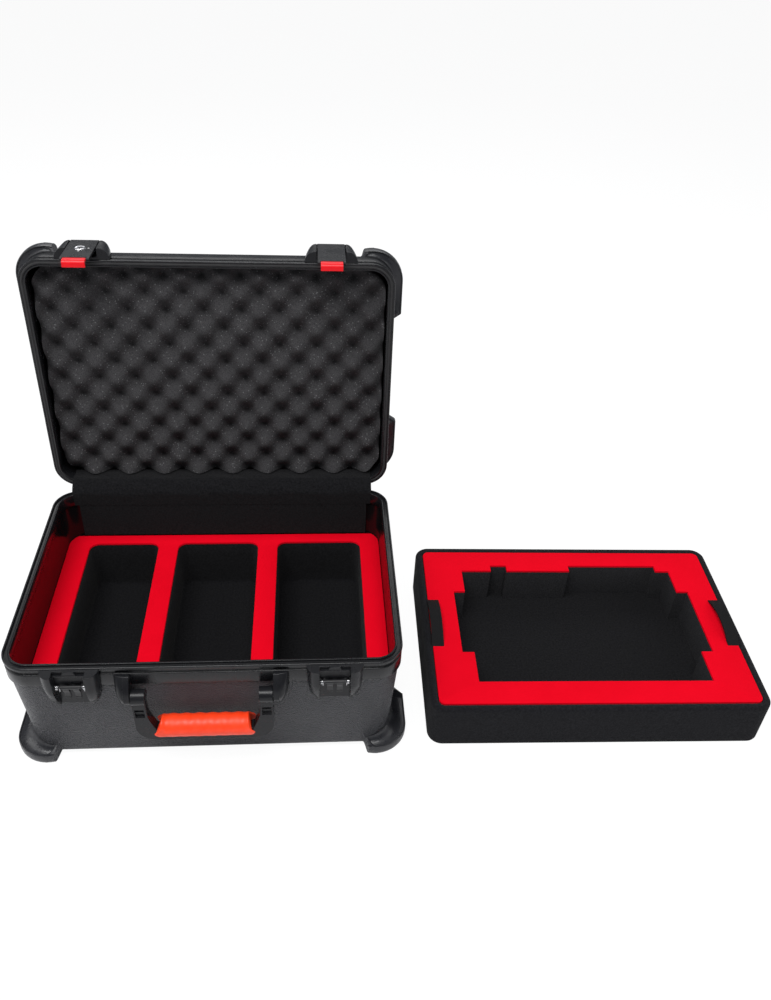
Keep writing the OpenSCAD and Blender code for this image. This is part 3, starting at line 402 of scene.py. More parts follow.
lining_mat, t, b, xyz = material("smooth_inner_plastic", (0.004, 0.0038, 0.0042), 0.24, specular=0.2)
bump(t, b, noise(t, xyz, 120, 3), 0.08, 0.0006)
gloss(b, remap(t, noise(t, xyz, 30, 4), 0.3, 0.7, 0.14, 0.26))

bumper_mat, t, b, xyz = material("smooth_bumper_plastic", (0.013, 0.0132, 0.0155), 0.3, specular=0.45)
grit = bump(t, b, noise(t, xyz, 1800, 3), 0.15, 0.0003)
bump(t, b, cells(t, xyz, 700, "SMOOTH_F1", 0.5), 0.3, 0.0005, grit)
scuffs = noise(t, xyz, 70, 5, 0.65)
gloss(b, remap(t, scuffs, 0.35, 0.7, 0.24, 0.4))
colour(b, tint(t, scuffs, (0.011, 0.0113, 0.0135), (0.018, 0.0184, 0.0215)))

make("base_moulding", shell(BASE_H, (7, 5), 22, 45), "case_base", [shell_mat, lining_mat, bumper_mat],
     ["base_shell"])

# Lid shell: the same moulding, shallow, with bumpers as high as the shell,
# carried open on the hinge.
lid_bm = shell(LID_H, (2, 2), 21, 21)
lid_bm.transform(Matrix.Translation((0, 0, LID_Z + LID_H)) @ Matrix.Scale(-1, 4, (0, 0, 1)))
bmesh.ops.reverse_faces(lid_bm, faces=lid_bm.faces)
make("lid_moulding", lid_bm, "lid", [shell_mat, lining_mat, bumper_mat], ["lid_shell"],
     open_matrix())

# Rims: black anodised aluminium extrusion bent round each shell's edge, with
# a bead, a groove and a lip outside and a channel for the seal on top.
BASE_GROOVE, SEAL_GROOVE = 4.0, 3.1


def ring(w, d, r, inset=0.0, steps=12, at=(0, 0)):
    """Points round a rounded rectangle, moved in by inset."""
    points = []
    for k, (sx, sy) in enumerate(((1, 1), (-1, 1), (-1, -1), (1, -1))):
        for i in range(steps + 1):
            a = math.radians(90 * (k + i / steps))
            reach = max(r - inset, 0.05)
            points.append((at[0] + sx * (w / 2 - max(r, inset)) + reach * math.cos(a),
                           at[1] + sy * (d / 2 - max(r, inset)) + reach * math.sin(a)))
    return points


def sweep_ring(profile, w, d, r):
    """A closed profile of (inset, z) swept round a rounded rectangle."""
    bm = bmesh.new()
    rows = [[bm.verts.new((x, y, z)) for x, y in ring(w, d, r, inset)] for inset, z in profile]
    grid_faces(bm, rows, close_rows=True, close_cols=True)
    bmesh.ops.recalc_face_normals(bm, faces=bm.faces)
    return bm


def rim_profile(groove):
    a, b = RIM_W / 2 - groove / 2, RIM_W / 2 + groove / 2
    return [(8.5, -0.6), (8.3, -0.15), (7.9, 0), (b + 0.2, 0), (b, -0.2), (b, -2.4), (a, -2.4), (a, -0.2),
            (a - 0.2, 0), (1.1, 0), (0.5, -0.2), (0.15, -0.6), (0, -1.2), (0, -3.6), (0.15, -4.1),
            (0.5, -4.4), (1.1, -4.5), (2.2, -4.55), (2.45, -4.8), (2.5, -5.2), (2.5, -9.4), (2.45, -9.8),
            (2.2, -10), (1.4, -10.05), (0.9, -10.3), (0.6, -10.8), (0.5, -11.4), (0.5, -26.4), (0.7, -27.1),
            (1.3, -27.5), (2.9, -27.5), (2.9, -11), (7.3, -11), (7.3, -16.8), (7.5, -17), (8.2, -17),
            (8.5, -16.7)]


rim_mat, t, b, xyz = material("anodised_black", (0.006, 0.0062, 0.007), 0.25, specular=0.3)
drawn = noise(t, xyz, 500, 2, 0.6)
worn = noise(t, xyz, 40, 5, 0.65)
gloss(b, remap(t, worn, 0.35, 0.75, 0.2, 0.34))
bump(t, b, drawn, 0.02, 0.0001)
colour(b, tint(t, worn, (0.005, 0.0052, 0.006), (0.009, 0.0092, 0.0105)))

rim_bm = sweep_ring(rim_profile(BASE_GROOVE), CASE_W, CASE_D, CORNER_R)
rim_bm.transform(Matrix.Translation((0, 0, BASE_H)))
make("base_edge_extrusion", rim_bm, "case_base", [rim_mat], ["base_rim"], crease=50)
rim_bm = sweep_ring(rim_profile(SEAL_GROOVE), CASE_W, CASE_D, CORNER_R)
rim_bm.transform(Matrix.Translation((0, 0, LID_Z)) @ Matrix.Scale(-1, 4, (0, 0, 1)))
bmesh.ops.reverse_faces(rim_bm, faces=rim_bm.faces)
make("lid_edge_extrusion", rim_bm, "lid", [rim_mat], ["lid_rim"], open_matrix(), crease=50)

# Seal: matt sponge-rubber cord pressed into the lid rim's channel, round
# where it stands proud.
seal_mat, t, b, xyz = material("sponge_rubber", (0.012, 0.012, 0.013), 0.85)
bump(t, b, cells(t, xyz, 1800), 0.35, 0.0003)
colour(b, tint(t, noise(t, xyz, 300, 4), (0.008, 0.008, 0.009), (0.02, 0.02, 0.021)))
seal_bm = sweep_ring([(2.8, 2.3), (2.8, 0.2), (3.0, -0.25), (3.5, -0.58), (4.25, -0.7), (5.0, -0.58),
                      (5.5, -0.25), (5.7, 0.2), (5.7, 2.3)], CASE_W, CASE_D, CORNER_R)
seal_bm.transform(Matrix.Translation((0, 0, LID_Z)))
make("seal_cord", seal_bm, "lid", [seal_mat], ["rim_seal"], open_matrix(), crease=60)

# Foam insert: a charcoal foam block fitted in the base, with three deep
# pockets cut out of it, and a red foam sheet glued on top.
INSERT_Z, FACING, BACK_Y, POCKET_FLOOR = 92.5, 3, 140.5, 19
POCKETS = ((-134, 91), (-9.5, 107), (125.5, 112))
POCKET_D, POCKET_Y, POCKET_R = 244, 2.5, 12


def block_ring(z, inset=0.0):
    """The insert's outline at a height, 4.3 mm inside the shell's skin."""
    t = min(1, max(0, (z - 15) / (BASE_H - RIM_H - 15)))
    w, d = CASE_W - 6 - 8.6 - 14 * (1 - t), CASE_D - 6 - 8.6 - 10 * (1 - t)
    low = max(0.0, 15 - z)
    inset += 7.7 - math.sqrt(max(0.0, 7.7 ** 2 - low ** 2)) if low < 7.7 else 7.7
    return [(x, min(y, BACK_Y - inset)) for x, y in ring(w, d, SHELL_R - 4.3, inset)]


def pocket_rings(grow, k):
    x, w = POCKETS[k]
    return ring(w + 2 * grow, POCKET_D + 2 * grow, POCKET_R + grow, steps=8, at=(x, POCKET_Y))


def row(bm, points, z):
    return [bm.verts.new((x, y, z)) for x, y in points]


def fill(bm, loops, up):
    """Caps the area between an outer loop and the loops inside it."""
    edges = []
    for loop in loops:
        for i in range(len(loop)):
            pair = (loop[i], loop[(i + 1) % len(loop)])
            edges.append(bm.edges.get(pair) or bm.edges.new(pair))
    made = bmesh.ops.triangle_fill(bm, edges=edges, use_beauty=True)["geom"]
    for f in (g for g in made if isinstance(g, bmesh.types.BMFace)):
        f.normal_update()
        if (f.normal.z > 0) != up:
            f.normal_flip()


def plate(outer, holes, lows, z1, soft, floor_z=None):
    """A sheet or block with softened top edges, its outer side drawn at each
    height in lows. outer(z, i) is its outline moved in by i, each of holes a
    cut-out's outline moved out by i. With a floor_z the cut-outs stop there."""
    bm = bmesh.new()
    tip = [(z1 - soft, 0.0), (z1 - 0.3 * soft, 0.3 * soft), (z1, soft)]
    rows = [row(bm, outer(z, i), z) for z, i in [(z, 0.0) for z in lows] + tip]
    grid_faces(bm, rows, close_cols=True)
    tops, bottoms = [rows[-1]], [rows[0]]
    for hole in holes:
        start = lows[0] if floor_z is None else floor_z
        rows = [row(bm, hole(i), z) for z, i in [(start, 0.0)] + tip]
        grid_faces(bm, rows[::-1], close_cols=True)
        tops.append(rows[-1])
        if floor_z is None:
            bottoms.append(rows[0])
        else:
            fill(bm, [rows[0]], True)
    fill(bm, tops, True)
    fill(bm, bottoms, False)
    bmesh.ops.recalc_face_normals(bm, faces=bm.faces)
    return bm


foam_mat, t, b, xyz = material("charcoal_foam", (0.016, 0.016, 0.017), 0.9, specular=0.05)
pores = cells(t, xyz, 900)
colour(b, tint(t, remap(t, pores, 0.1, 0.6, 0.0, 1.0), (0.007, 0.007, 0.0075), (0.026, 0.026, 0.028)))
coarse = bump(t, b, noise(t, xyz, 160, 4), 0.25, 0.001)
bump(t, b, pores, 0.55, 0.0007, coarse)

red_mat, t, b, xyz = material("red_foam_sheet", (0.62, 0.001, 0.010), 0.8, specular=0.04)
nap = noise(t, xyz, 900, 3, 0.7)
cloud = noise(t, xyz, 22, 4)
colour(b, tint(t, cloud, (0.58, 0.0004, 0.008), (0.68, 0.0009, 0.012)))
fine = bump(t, b, nap, 0.22, 0.0005)
bump(t, b, noise(t, xyz, 35, 2), 0.15, 0.002, fine)

bm = plate(block_ring, [lambda i, k=k: pocket_rings(1.4 + i, k) for k in range(3)],
           (16, 30, 60), INSERT_Z - FACING, 0.3, 18)
ob = make("insert_foam_block", bm, "case_base", [foam_mat], ["base_foam"])
bm = plate(block_ring, [lambda i, k=k: pocket_rings(i - 0.2, k) for k in range(3)],
           (INSERT_Z - FACING,), INSERT_Z, 0.7)
ob = make("insert_red_facing", bm, "case_base", [red_mat], ["base_foam_facing"])

# Pocket linings: short-napped dark fleece bonded to the walls and floor of
# each pocket, soft where it turns from wall to floor.
FLEECE_T = 1.3


def fleece(name, low, high):
    mat, t, b, xyz = material(name, low, 1.0, specular=0.02, sheen=0.035)
    fluff = noise(t, xyz, 420, 4, 0.7)
    colour(b, tint(t, remap(t, fluff, 0.3, 0.72, 0.0, 1.0), low, high))
    patches = bump(t, b, noise(t, xyz, 60, 3), 0.3, 0.002)
    bump(t, b, fluff, 0.7, 0.0012, patches)
    return mat


fleece_mat = fleece("dark_fleece", (0.0025, 0.0025, 0.003), (0.012, 0.012, 0.0132))
for k, (name, (_, width)) in enumerate(zip(("left", "middle", "right"), POCKETS)):
    bm = bmesh.new()
    rows = []
    top = INSERT_Z - FACING
    floor_r = 4
    for z, out in [(top - 0.3, FLEECE_T), (top, FLEECE_T - 0.3), (top, 0.3), (top - 0.3, 0.0),
                   (70, 0.0), (50, 0.0), (32, 0.0), (POCKET_FLOOR + floor_r, 0.0)]:
        rows.append(row(bm, pocket_rings(out, k), z))
    for a in (22.5, 45, 67.5, 90):
        inset = floor_r * (1 - math.cos(math.radians(a)))
        height = POCKET_FLOOR + floor_r * (1 - math.sin(math.radians(a)))
        rows.append(row(bm, pocket_rings(-inset, k), height))
    grid_faces(bm, rows, close_cols=True)
    bm.faces.new(rows[-1])
    under = [row(bm, pocket_rings(FLEECE_T, k), z) for z in (POCKET_FLOOR - FLEECE_T, top - 0.3)]
    bm.faces.new(under[0])
    grid_faces(bm, [under[0], rows[0]], close_cols=True)
    for v in under[1]:
        bm.verts.remove(v)
    bmesh.ops.recalc_face_normals(bm, faces=bm.faces)
    ob = make("pocket_lining_" + name, bm, "case_base", [fleece_mat], ["pocket_linings"], crease=60)

# Rear linings: strips of the same fleece bonded to the rear walls of the base
# and the lid.
LINING_W, LID_LINING_H, LINING_Y = 380, 10.1, 142.9


def strip(path, width, thick, across=60, ripple=0.0):
    """A sheet that follows a Y-Z path, straight along X."""
    bm = bmesh.new()
    n = len(path)
    rows = []
    for side in (0, 1):
        for k in (range(n) if side == 0 else range(n - 1, -1, -1)):
            a, b = path[max(k - 1, 0)], path[min(k + 1, n - 1)]
            length = math.hypot(b[0] - a[0], b[1] - a[1])
            normal = ((a[1] - b[1]) / length, (b[0] - a[0]) / length)
            off = thick if side else 0.0
            line = []
            for i in range(across + 1):
                x = width * (i / across - 0.5)
                wave = ripple * math.sin(x * 0.071 + k * 0.7) * math.sin(math.pi * k / (n - 1))
                lift = off + wave
                line.append(bm.verts.new((x, path[k][0] + normal[0] * lift, path[k][1] + normal[1] * lift)))
            rows.append(line)
    grid_faces(bm, rows, close_rows=True)
    for end in (0, -1):
        bm.faces.new([r[end] for r in rows])
    bmesh.ops.recalc_face_normals(bm, faces=bm.faces)
    return bm


wall_path = [(LINING_Y + 2.1 * k / 12, 93 + 49.5 * k / 12) for k in range(13)]
ob = make("rear_wall_lining", strip(wall_path, LINING_W, FLEECE_T), "case_base", [fleece_mat],
          ["rear_lining"])
lid_path = [(LINING_Y, 186 + LID_LINING_H * k / 4) for k in range(5)]
ob = make("lid_wall_lining", strip(lid_path, LINING_W, 1.2), "lid", [fleece_mat], ["lid_lining"],
          open_matrix())

# Hinge flap: a fleece strip glued inside both rear rims, which hides the
# hinge from inside; it is drawn folded as it lies with the lid open.


def opened(y, z):
    p = open_matrix() @ Vector((0, y, z))
    return p[1], p[2]


FLAP_MARGIN, FLAP_T = 12.5, 1.3
flap_in = 144.6
low = [(flap_in, 143 + 17 * k / 8) for k in range(9)]
high = [opened(flap_in, 162 + 22.5 * k / 10) for k in range(11)]
p0, p3 = Vector(low[-1]), Vector(high[0])
p1, p2 = p0 + Vector((-0.2, 4.2)), p3 + Vector((-4.2, -1.0))
fold = []
for k in range(1, 12):
    u = k / 12
    q = (1 - u) ** 3 * p0 + 3 * u * (1 - u) ** 2 * p1 + 3 * u * u * (1 - u) * p2 + u ** 3 * p3
    fold.append((q[0], q[1]))
flap_path = low + fold + high
flap_w = CASE_W - 2 * RIM_W - 2 * FLAP_MARGIN
ob = make("hinge_flap_cloth", strip(flap_path, flap_w, FLAP_T, 120, 0.35), "case_base", [fleece_mat],
          ["hinge_flap"], ride=False, crease=60)
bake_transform(ob)

# Hinge: a steel piano hinge outside both rear rims, its leaves coated black
# and riveted through the rims, on a bright pin. The pins of the latches and
# the handle are blackened.
black_steel, t, b, xyz = material("black_steel", (0.018, 0.018, 0.019), 0.38, metallic=0.6)
gloss(b, remap(t, noise(t, xyz, 90, 4), 0.3, 0.7, 0.3, 0.5))
bump(t, b, noise(t, xyz, 900, 2), 0.1, 0.0003)

bright_steel, t, b, xyz = material("bright_steel", (0.52, 0.52, 0.53), 0.22, metallic=1.0)
gloss(b, remap(t, noise(t, xyz, 300, 3, stretch=(0.1, 1, 1)), 0.3, 0.7, 0.15, 0.32))
colour(b, tint(t, noise(t, xyz, 60, 3), (0.42, 0.42, 0.43), (0.62, 0.62, 0.63)))


def dress(names, mat, edge=0.0):
    """Gives a machined part its material, and a fine chamfer if it has one."""
    for name in names:
        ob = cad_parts[name]
        ob.data.materials.clear()
        ob.data.materials.append(mat)
        if edge:
            weld = ob.modifiers.new("weld", "WELD")
            weld.merge_threshold = 0.00001
            soft = ob.modifiers.new("edge", "BEVEL")
            soft.width, soft.segments, soft.limit_method = edge * MM, 2, "ANGLE"
            soft.angle_limit = math.radians(40)


dress(["hinge_leaf_base", "hinge_leaf_lid"], black_steel, 0.25)
dress(["hinge_rivets_base", "hinge_rivets_lid", "hinge_pin"], bright_steel)

pin_steel, t, b, xyz = material("blackened_pin_steel", (0.05, 0.05, 0.053), 0.34, metallic=0.7)
gloss(b, remap(t, noise(t, xyz, 300, 3, stretch=(0.1, 1, 1)), 0.3, 0.7, 0.28, 0.44))
colour(b, tint(t, noise(t, xyz, 60, 3), (0.035, 0.035, 0.038), (0.07, 0.07, 0.073)))
dress(["catch_pins", "latch_pins", "tab_pin_left", "tab_pin_right", "handle_pins"], pin_steel,
      0.2)
dress(["bracket_screws"], black_steel)

# Latch keepers on the base: glass-filled nylon mouldings with a rounded cheek
# at each side of a recess, screwed to the rim from inside.
LATCH_X, CHEEK_X, CHEEK_FRONT = 141, 17, -167
HUB_Y, HUB_Z, HUB_HALF = -159.65, 138, 10.9

nylon, t, b, xyz = material("black_nylon", (0.008, 0.0083, 0.0095), 0.3, specular=0.2)
grain = cells(t, xyz, 1500, "SMOOTH_F1", 0.5)
bump(t, b, grain, 0.16, 0.0002)
gloss(b, remap(t, noise(t, xyz, 45, 4), 0.3, 0.7, 0.22, 0.34))
colour(b, tint(t, noise(t, xyz, 25, 3), (0.006, 0.0062, 0.0072), (0.011, 0.0113, 0.013)))


def prism(bm, outline, x0, x1):
    """A solid with a Y-Z outline, from x0 to x1."""
    rows = [[bm.verts.new((x, y, z)) for y, z in outline] for x in (x0, x1)]
    grid_faces(bm, rows, close_cols=True)
    for r in rows:
        bm.faces.new(r)


def arc(cx, cz, r, a0, a1, n=10):
    """Points along an arc, from angle a0 to a1 in degrees."""
    turns = [math.radians(a0 + (a1 - a0) * k / n) for k in range(n + 1)]
    return [(cx + r * math.cos(a), cz + r * math.sin(a)) for a in turns]


def rod(bm, x0, x1, y, z, r, n=28):
    turns = [2 * math.pi * k / n for k in range(n)]
    prism(bm, [(y + r * math.cos(a), z + r * math.sin(a)) for a in turns], x0, x1)


def smooth_through(values, count):
    """A smooth curve through the values, in count steps per gap."""
    out = []
    for k in range(len(values) - 1):
        a, b, c, d = values[max(k - 1, 0)], values[k], values[k + 1], values[min(k + 2, len(values) - 1)]
        for i in range(count):
            u = i / count
            out.append(0.5 * (2 * b + (c - a) * u + (2 * a - 5 * b + 4 * c - d) * u * u
                              + (3 * b - a - 3 * c + d) * u ** 3))
    return out + [values[-1]]


def cheek(bm, side, x0, z, back, crest, wide, steps=4, sides=10):
    """A cheek with a flat inner side and a rounded outer one."""
    rows = []
    for h, b, c, w in zip(*(smooth_through(v, steps) for v in (z, back, crest, wide))):
        line = [(x0, b), (x0, c)]
        for i in range(sides + 1):
            a = math.radians(90 * i / sides)
            line.append((x0 + 1.2 + (w - x0 - 1.2) * math.sin(a), b - (b - c) * math.cos(a)))
        rows.append([bm.verts.new((side * x, y, h)) for x, y in line])
    grid_faces(bm, rows, close_cols=True)
    bm.faces.new(rows[0])
    bm.faces.new(rows[-1])


def finish_solid(bm):
    bmesh.ops.recalc_face_normals(bm, faces=bm.faces)
    return bm


def soften(ob, width, segments=2, angle=30):
    """Rounds a piece's edges, as its mould or die leaves them."""
    m = ob.modifiers.new("edges", "BEVEL")
    m.width, m.segments, m.limit_method = width * MM, segments, "ANGLE"
    m.angle_limit = math.radians(angle)
    m.harden_normals = True
    for e in ob.data.edges:
        e.use_edge_sharp = False
    return ob


def keeper():
    bm = bmesh.new()
    prism(bm, [(-153.6, 159.5), (-156.5, 159.5), (-156.5, 133.2), (-152, 129.2), (-150.8, 102), (-149.3, 102),
               (-150.6, 132.2), (-153.6, 132.2)], -CHEEK_X - 1, CHEEK_X + 1)
    for side in (-1, 1):
        cheek(bm, side, CHEEK_X, (102, 110, 117.1, 132.2, 146, 159.5),
              (-149.3, -149.7, -149.9, -152.5, -153.6, -153.6),
              (-153.8, -156.8, -161.9, -166, -166.8, -167), (19.5, 24.5, 28, 30, 30.8, 31))
    prism(bm, [(-155.5, 153.5), (-159.5, 153.5), (-159.5, 155.1), (-155.5, 155.1)], -16.5, 16.5)
    rows = [[bm.verts.new((x, y, z)) for x, z in ((-8.3, 154.5), (8.3, 154.5), (5.6, 159.5), (-5.6, 159.5))]
            for y in (-155.5, -158.7)]
    grid_faces(bm, rows, close_cols=True)
    for r in rows:
        bm.faces.new(r)
    return finish_solid(bm)


for name, sx in (("left", -1), ("right", 1)):
    at = Matrix.Translation((sx * LATCH_X, 0, 0))
    soften(make("keeper_" + name + "_moulding", keeper(), "case_base", [nylon],
                ["keeper_" + name], at), 0.45)

# Catches: black steel pressings that turn on a cross pin, two fingers with
# rolled ends, pushed forward by a wire spring at each end of the hub.


def tube(bm, line, r, n=10):
    """A round wire along a line of points."""
    rows = []
    up = Vector((1, 0, 0))
    for k, p in enumerate(line):
        ahead = (line[min(k + 1, len(line) - 1)] - line[max(k - 1, 0)]).normalized()
        side = ahead.cross(up)
        if side.length < 0.05:
            side = ahead.cross(Vector((0, 0, 1)))
        side.normalize()
        top = side.cross(ahead).normalized()
        up = top
        turns = [2 * math.pi * i / n for i in range(n)]
        rows.append([bm.verts.new(p + r * (math.cos(a) * side + math.sin(a) * top)) for a in turns])
    grid_faces(bm, rows, close_cols=True)
    bm.faces.new(rows[0])
    bm.faces.new(rows[-1])


pressed, t, b, xyz = material("pressed_steel", (0.012, 0.012, 0.013), 0.42, specular=0.35)
gloss(b, remap(t, noise(t, xyz, 150, 4), 0.3, 0.7, 0.34, 0.5))
bump(t, b, noise(t, xyz, 1200, 2), 0.08, 0.0002)
for name, sx in (("left", -1), ("right", 1)):
    at = Matrix.Translation((sx * LATCH_X, 0, 0))
    bm = bmesh.new()
    rod(bm, -HUB_HALF, HUB_HALF, HUB_Y, HUB_Z, 2.2)
    for side in (-1, 1):
        x0, x1 = sorted((side * 2.2, side * 8.7))
        front = [(-161.25, 138), (-161.25, 134.5), (-160.6, 132.6), (-158.8, 129.4), (-158.15, 127.6),
                 (-158.15, 119.6)]
        back = [(-156.15, 119.6), (-156.15, 128.6), (-157.3, 131.6), (-158.9, 134), (-159.25, 135.4),
                (-159.25, 138)]
        prism(bm, front + back, x0, x1)
        rod(bm, x0, x1, -157.45, 120, 1.3)
    soften(make("catch_" + name + "_pressing", finish_solid(bm), "catch_" + name, [pressed],
                ["catch_" + name], at), 0.25)
    bm = bmesh.new()
    for side in (-1, 1):
        coil = [Vector((side * (13.2 + 2.5 * k / 72), HUB_Y + 2.25 * math.cos(math.radians(15 * k)),
                        HUB_Z + 2.25 * math.sin(math.radians(15 * k)))) for k in range(73)]
        leg = [Vector((side * 13.1, -157.4, HUB_Z - 1.1 * k)) for k in range(8, 0, -1)]
        tube(bm, leg + coil, 0.62)
    make("catch_springs_" + name, finish_solid(bm), "case_base", [bright_steel],
         ["catch_springs"], at, crease=60)

# Latches on the lid: a nylon housing like the keeper, a lever on a cross pin
# and, in its free end, a sprung red release tab.
red_nylon, t, b, xyz = material("red_nylon", (0.60, 0.003, 0.008), 0.34, specular=0.3)
colour(b, tint(t, noise(t, xyz, 50, 3), (0.55, 0.002, 0.006), (0.68, 0.004, 0.010)))
bump(t, b, cells(t, xyz, 1500, "SMOOTH_F1", 0.5), 0.12, 0.0002)

PIVOT = (-162.25, 188)
LEVER_HALF, TAB_HALF = 16, 12.5
for name, sx in (("left", -1), ("right", 1)):
    at = open_matrix() @ Matrix.Translation((sx * LATCH_X, 0, 0))
    bm = bmesh.new()
    prism(bm, [(-153.6, 161.5), (-156.5, 161.5), (-156.5, 194.75), (-160.5, 195.2), (-164, 196.2),
               (-158, 200.4), (-151.6, 203), (-148.6, 203), (-150.6, 188.8), (-153.6, 188.8)],
          -CHEEK_X - 1, CHEEK_X + 1)
    for side in (-1, 1):
        cheek(bm, side, CHEEK_X, (161.5, 175.2, 188.8, 197, 203), (-153.6, -153.6, -152.6, -148.6, -148.6),
              (-167, -167, -166.7, -158.6, -153.6), (31, 30, 27, 23, 20.5))
    soften(make("housing_" + name + "_moulding", finish_solid(bm), "lid", [nylon],
                ["latch_housing_" + name], at), 0.45)

    bm = bmesh.new()
    rod(bm, -LEVER_HALF, LEVER_HALF, *PIVOT, 4.75, 40)
    prism(bm, [(CHEEK_FRONT, 132.3), (-163.5, 132.3), (-163.5, PIVOT[1]), (CHEEK_FRONT, PIVOT[1])],
          -LEVER_HALF, LEVER_HALF)
    for side in (-1, 1):
        x0, x1 = sorted((side * 12.8, side * LEVER_HALF))
        prism(bm, [(-167, 133)] + arc(-165.25, 130, 1.75, 180, 360, 12) + [(-163.5, 133)], x0, x1)
    soften(make("lever_" + name + "_moulding", finish_solid(bm), "lever_" + name, [nylon],
                ["latch_lever_" + name], at), 0.6)

    bm = bmesh.new()
    barrel = arc(-165, 130, 1.9, 0, 180, 9)
    bend = arc(-163, 125, 4, 180, 270, 6)
    prism(bm, barrel + bend + [(-159, 121), (-159, 124), (-162.9, 124), (-163.8, 124.9), (-164, 126)],
          -TAB_HALF, TAB_HALF)
    soften(make("release_" + name + "_tab", finish_solid(bm), "tab_" + name, [red_nylon],
                ["release_tab_" + name], at), 0.4)

# Lock in the left lever: a chromed cylinder with a keyway, two painted dots
# beside it for the key's two places.
chrome, t, b, xyz = material("lock_chrome", (0.72, 0.72, 0.74), 0.08, metallic=1.0)
gloss(b, remap(t, noise(t, xyz, 500, 3), 0.3, 0.7, 0.05, 0.16))
# Painted shade: the keyway slot and the gap round the plug are dark faces laid at the plug's face, not cut
# in, standing in for the shade inside them.
keyway_shade_mat, t, b, xyz = material("keyway_and_gap_shade", (0.004, 0.004, 0.004), 0.6)
bump(t, b, noise(t, xyz, 900, 2), 0.2, 0.0003)
white_paint, t, b, xyz = material("white_paint", (0.75, 0.75, 0.75), 0.5)
bump(t, b, noise(t, xyz, 900, 2), 0.15, 0.0002)


def turned(bm, rings, mat=0, n=40):
    """A body of revolution about the Y axis through (0, 161)."""
    rows = [[bm.verts.new((r * math.cos(2 * math.pi * k / n), y, 161 + r * math.sin(2 * math.pi * k / n)))
             for k in range(n)] for r, y in rings]
    start = len(bm.faces)
    grid_faces(bm, rows, close_cols=True)
    bm.faces.new(rows[0])
    bm.faces.new(rows[-1])
    bm.faces.ensure_lookup_table()
    for f in bm.faces[start:]:
        f.material_index = mat


at = open_matrix() @ Matrix.Translation((-LATCH_X, 0, 0))
bm = bmesh.new()
turned(bm, [(6.5, -163.6), (6.5, -167.3), (6.3, -167.55), (5.9, -167.6), (5.0, -167.5), (4.6, -167.2),
            (4.4, -167.05)])
turned(bm, [(4.35, -166), (4.35, -167.0), (4.1, -167.2), (3.9, -167.24)])
# Dark faces for the gap round the plug, the keyway's round and its slot: painted shade.
turned(bm, [(4.42, -166), (4.42, -167.06)], 1)
turned(bm, [(1.45, -166.8), (1.45, -167.37)], 1, 20)
prism(bm, [(-166.8, 157.8), (-167.37, 157.8), (-167.37, 164.2), (-166.8, 164.2)], -0.7, 0.7)
bm.faces.ensure_lookup_table()
for f in bm.faces[-6:]:
    f.material_index = 1
make("lock_plug", finish_solid(bm), "lock", [chrome, keyway_shade_mat], ["lock_cylinder"], at)
bm = bmesh.new()
for x, z in ((9.6, 161), (0, 151.6)):
    rows = [[bm.verts.new((x + r * math.cos(math.radians(30 * k)), y, z + r * math.sin(math.radians(30 * k))))
             for k in range(12)] for r, y in ((0.9, -166.9), (0.9, -167.03), (0.75, -167.06))]
    grid_faces(bm, rows, close_cols=True)
    bm.faces.new(rows[-1])
    bm.faces.new(rows[0])
make("lock_marks", finish_solid(bm), "lever_left", [white_paint], (), at)

# Handle brackets: two nylon mouldings screwed through the front wall, each
# with a nose round the pivot pin and a rounded cheek outside it.
HANDLE_X, HANDLE_Y, HANDLE_Z, GRIP_Z = -2.5, -165, 126, 77
for name, side in (("left", -1), ("right", 1)):
    at = Matrix.Translation((HANDLE_X, 0, 0))
    bm = bmesh.new()
    nose = arc(HANDLE_Y, HANDLE_Z, 8, 165, 249, 7)
    x0, x1 = sorted((side * 76.5, side * 83))
    prism(bm, [(-153.6, 151), (-158.5, 151), (-163.5, 146.5), (-168.2, 140.5), (-171.2, 134.5)] + nose
          + [(-153.1, 100), (-149.3, 100), (-150.6, 132.2), (-153.6, 132.2)], x0, x1)
    cheek(bm, side, 82, (100, 114, 125, 132.2, 142, 151), (-149.3, -149.9, -150.4, -152.6, -153.6, -153.6),
          (-152.4, -166, -171.2, -171, -166.5, -158), (85, 89, 92.5, 93.5, 93.5, 93.3))
    soften(make("handle_bracket_" + name + "_moulding", finish_solid(bm), "case_base", [nylon],
                ["handle_bracket_" + name], at), 0.6)

# Handle frame: one U-shaped nylon moulding, arms with pivot knuckles above
# and a bar below for the grip, a clip pocket in each arm.


def carve(bm, cutter):
    """One closed solid less another."""
    obs = []
    for part in (bm, cutter):
        mesh = bpy.data.meshes.new("carve")
        part.to_mesh(mesh)
        part.free()
        obs.append(bpy.data.objects.new("carve", mesh))
        bpy.context.scene.collection.objects.link(obs[-1])
    cut = obs[0].modifiers.new("cut", "BOOLEAN")
    cut.operation, cut.object, cut.solver = "DIFFERENCE", obs[1], "EXACT"
    mesh = bpy.data.meshes.new_from_object(obs[0].evaluated_get(bpy.context.evaluated_depsgraph_get()))
    out = bmesh.new()
    out.from_mesh(mesh)
    for ob in obs:
        bpy.data.objects.remove(ob)
    bpy.data.meshes.remove(mesh)
    return out


def block(bm, lo, hi):
    prism(bm, [(lo[1], lo[2]), (hi[1], lo[2]), (hi[1], hi[2]), (lo[1], hi[2])], lo[0], hi[0])


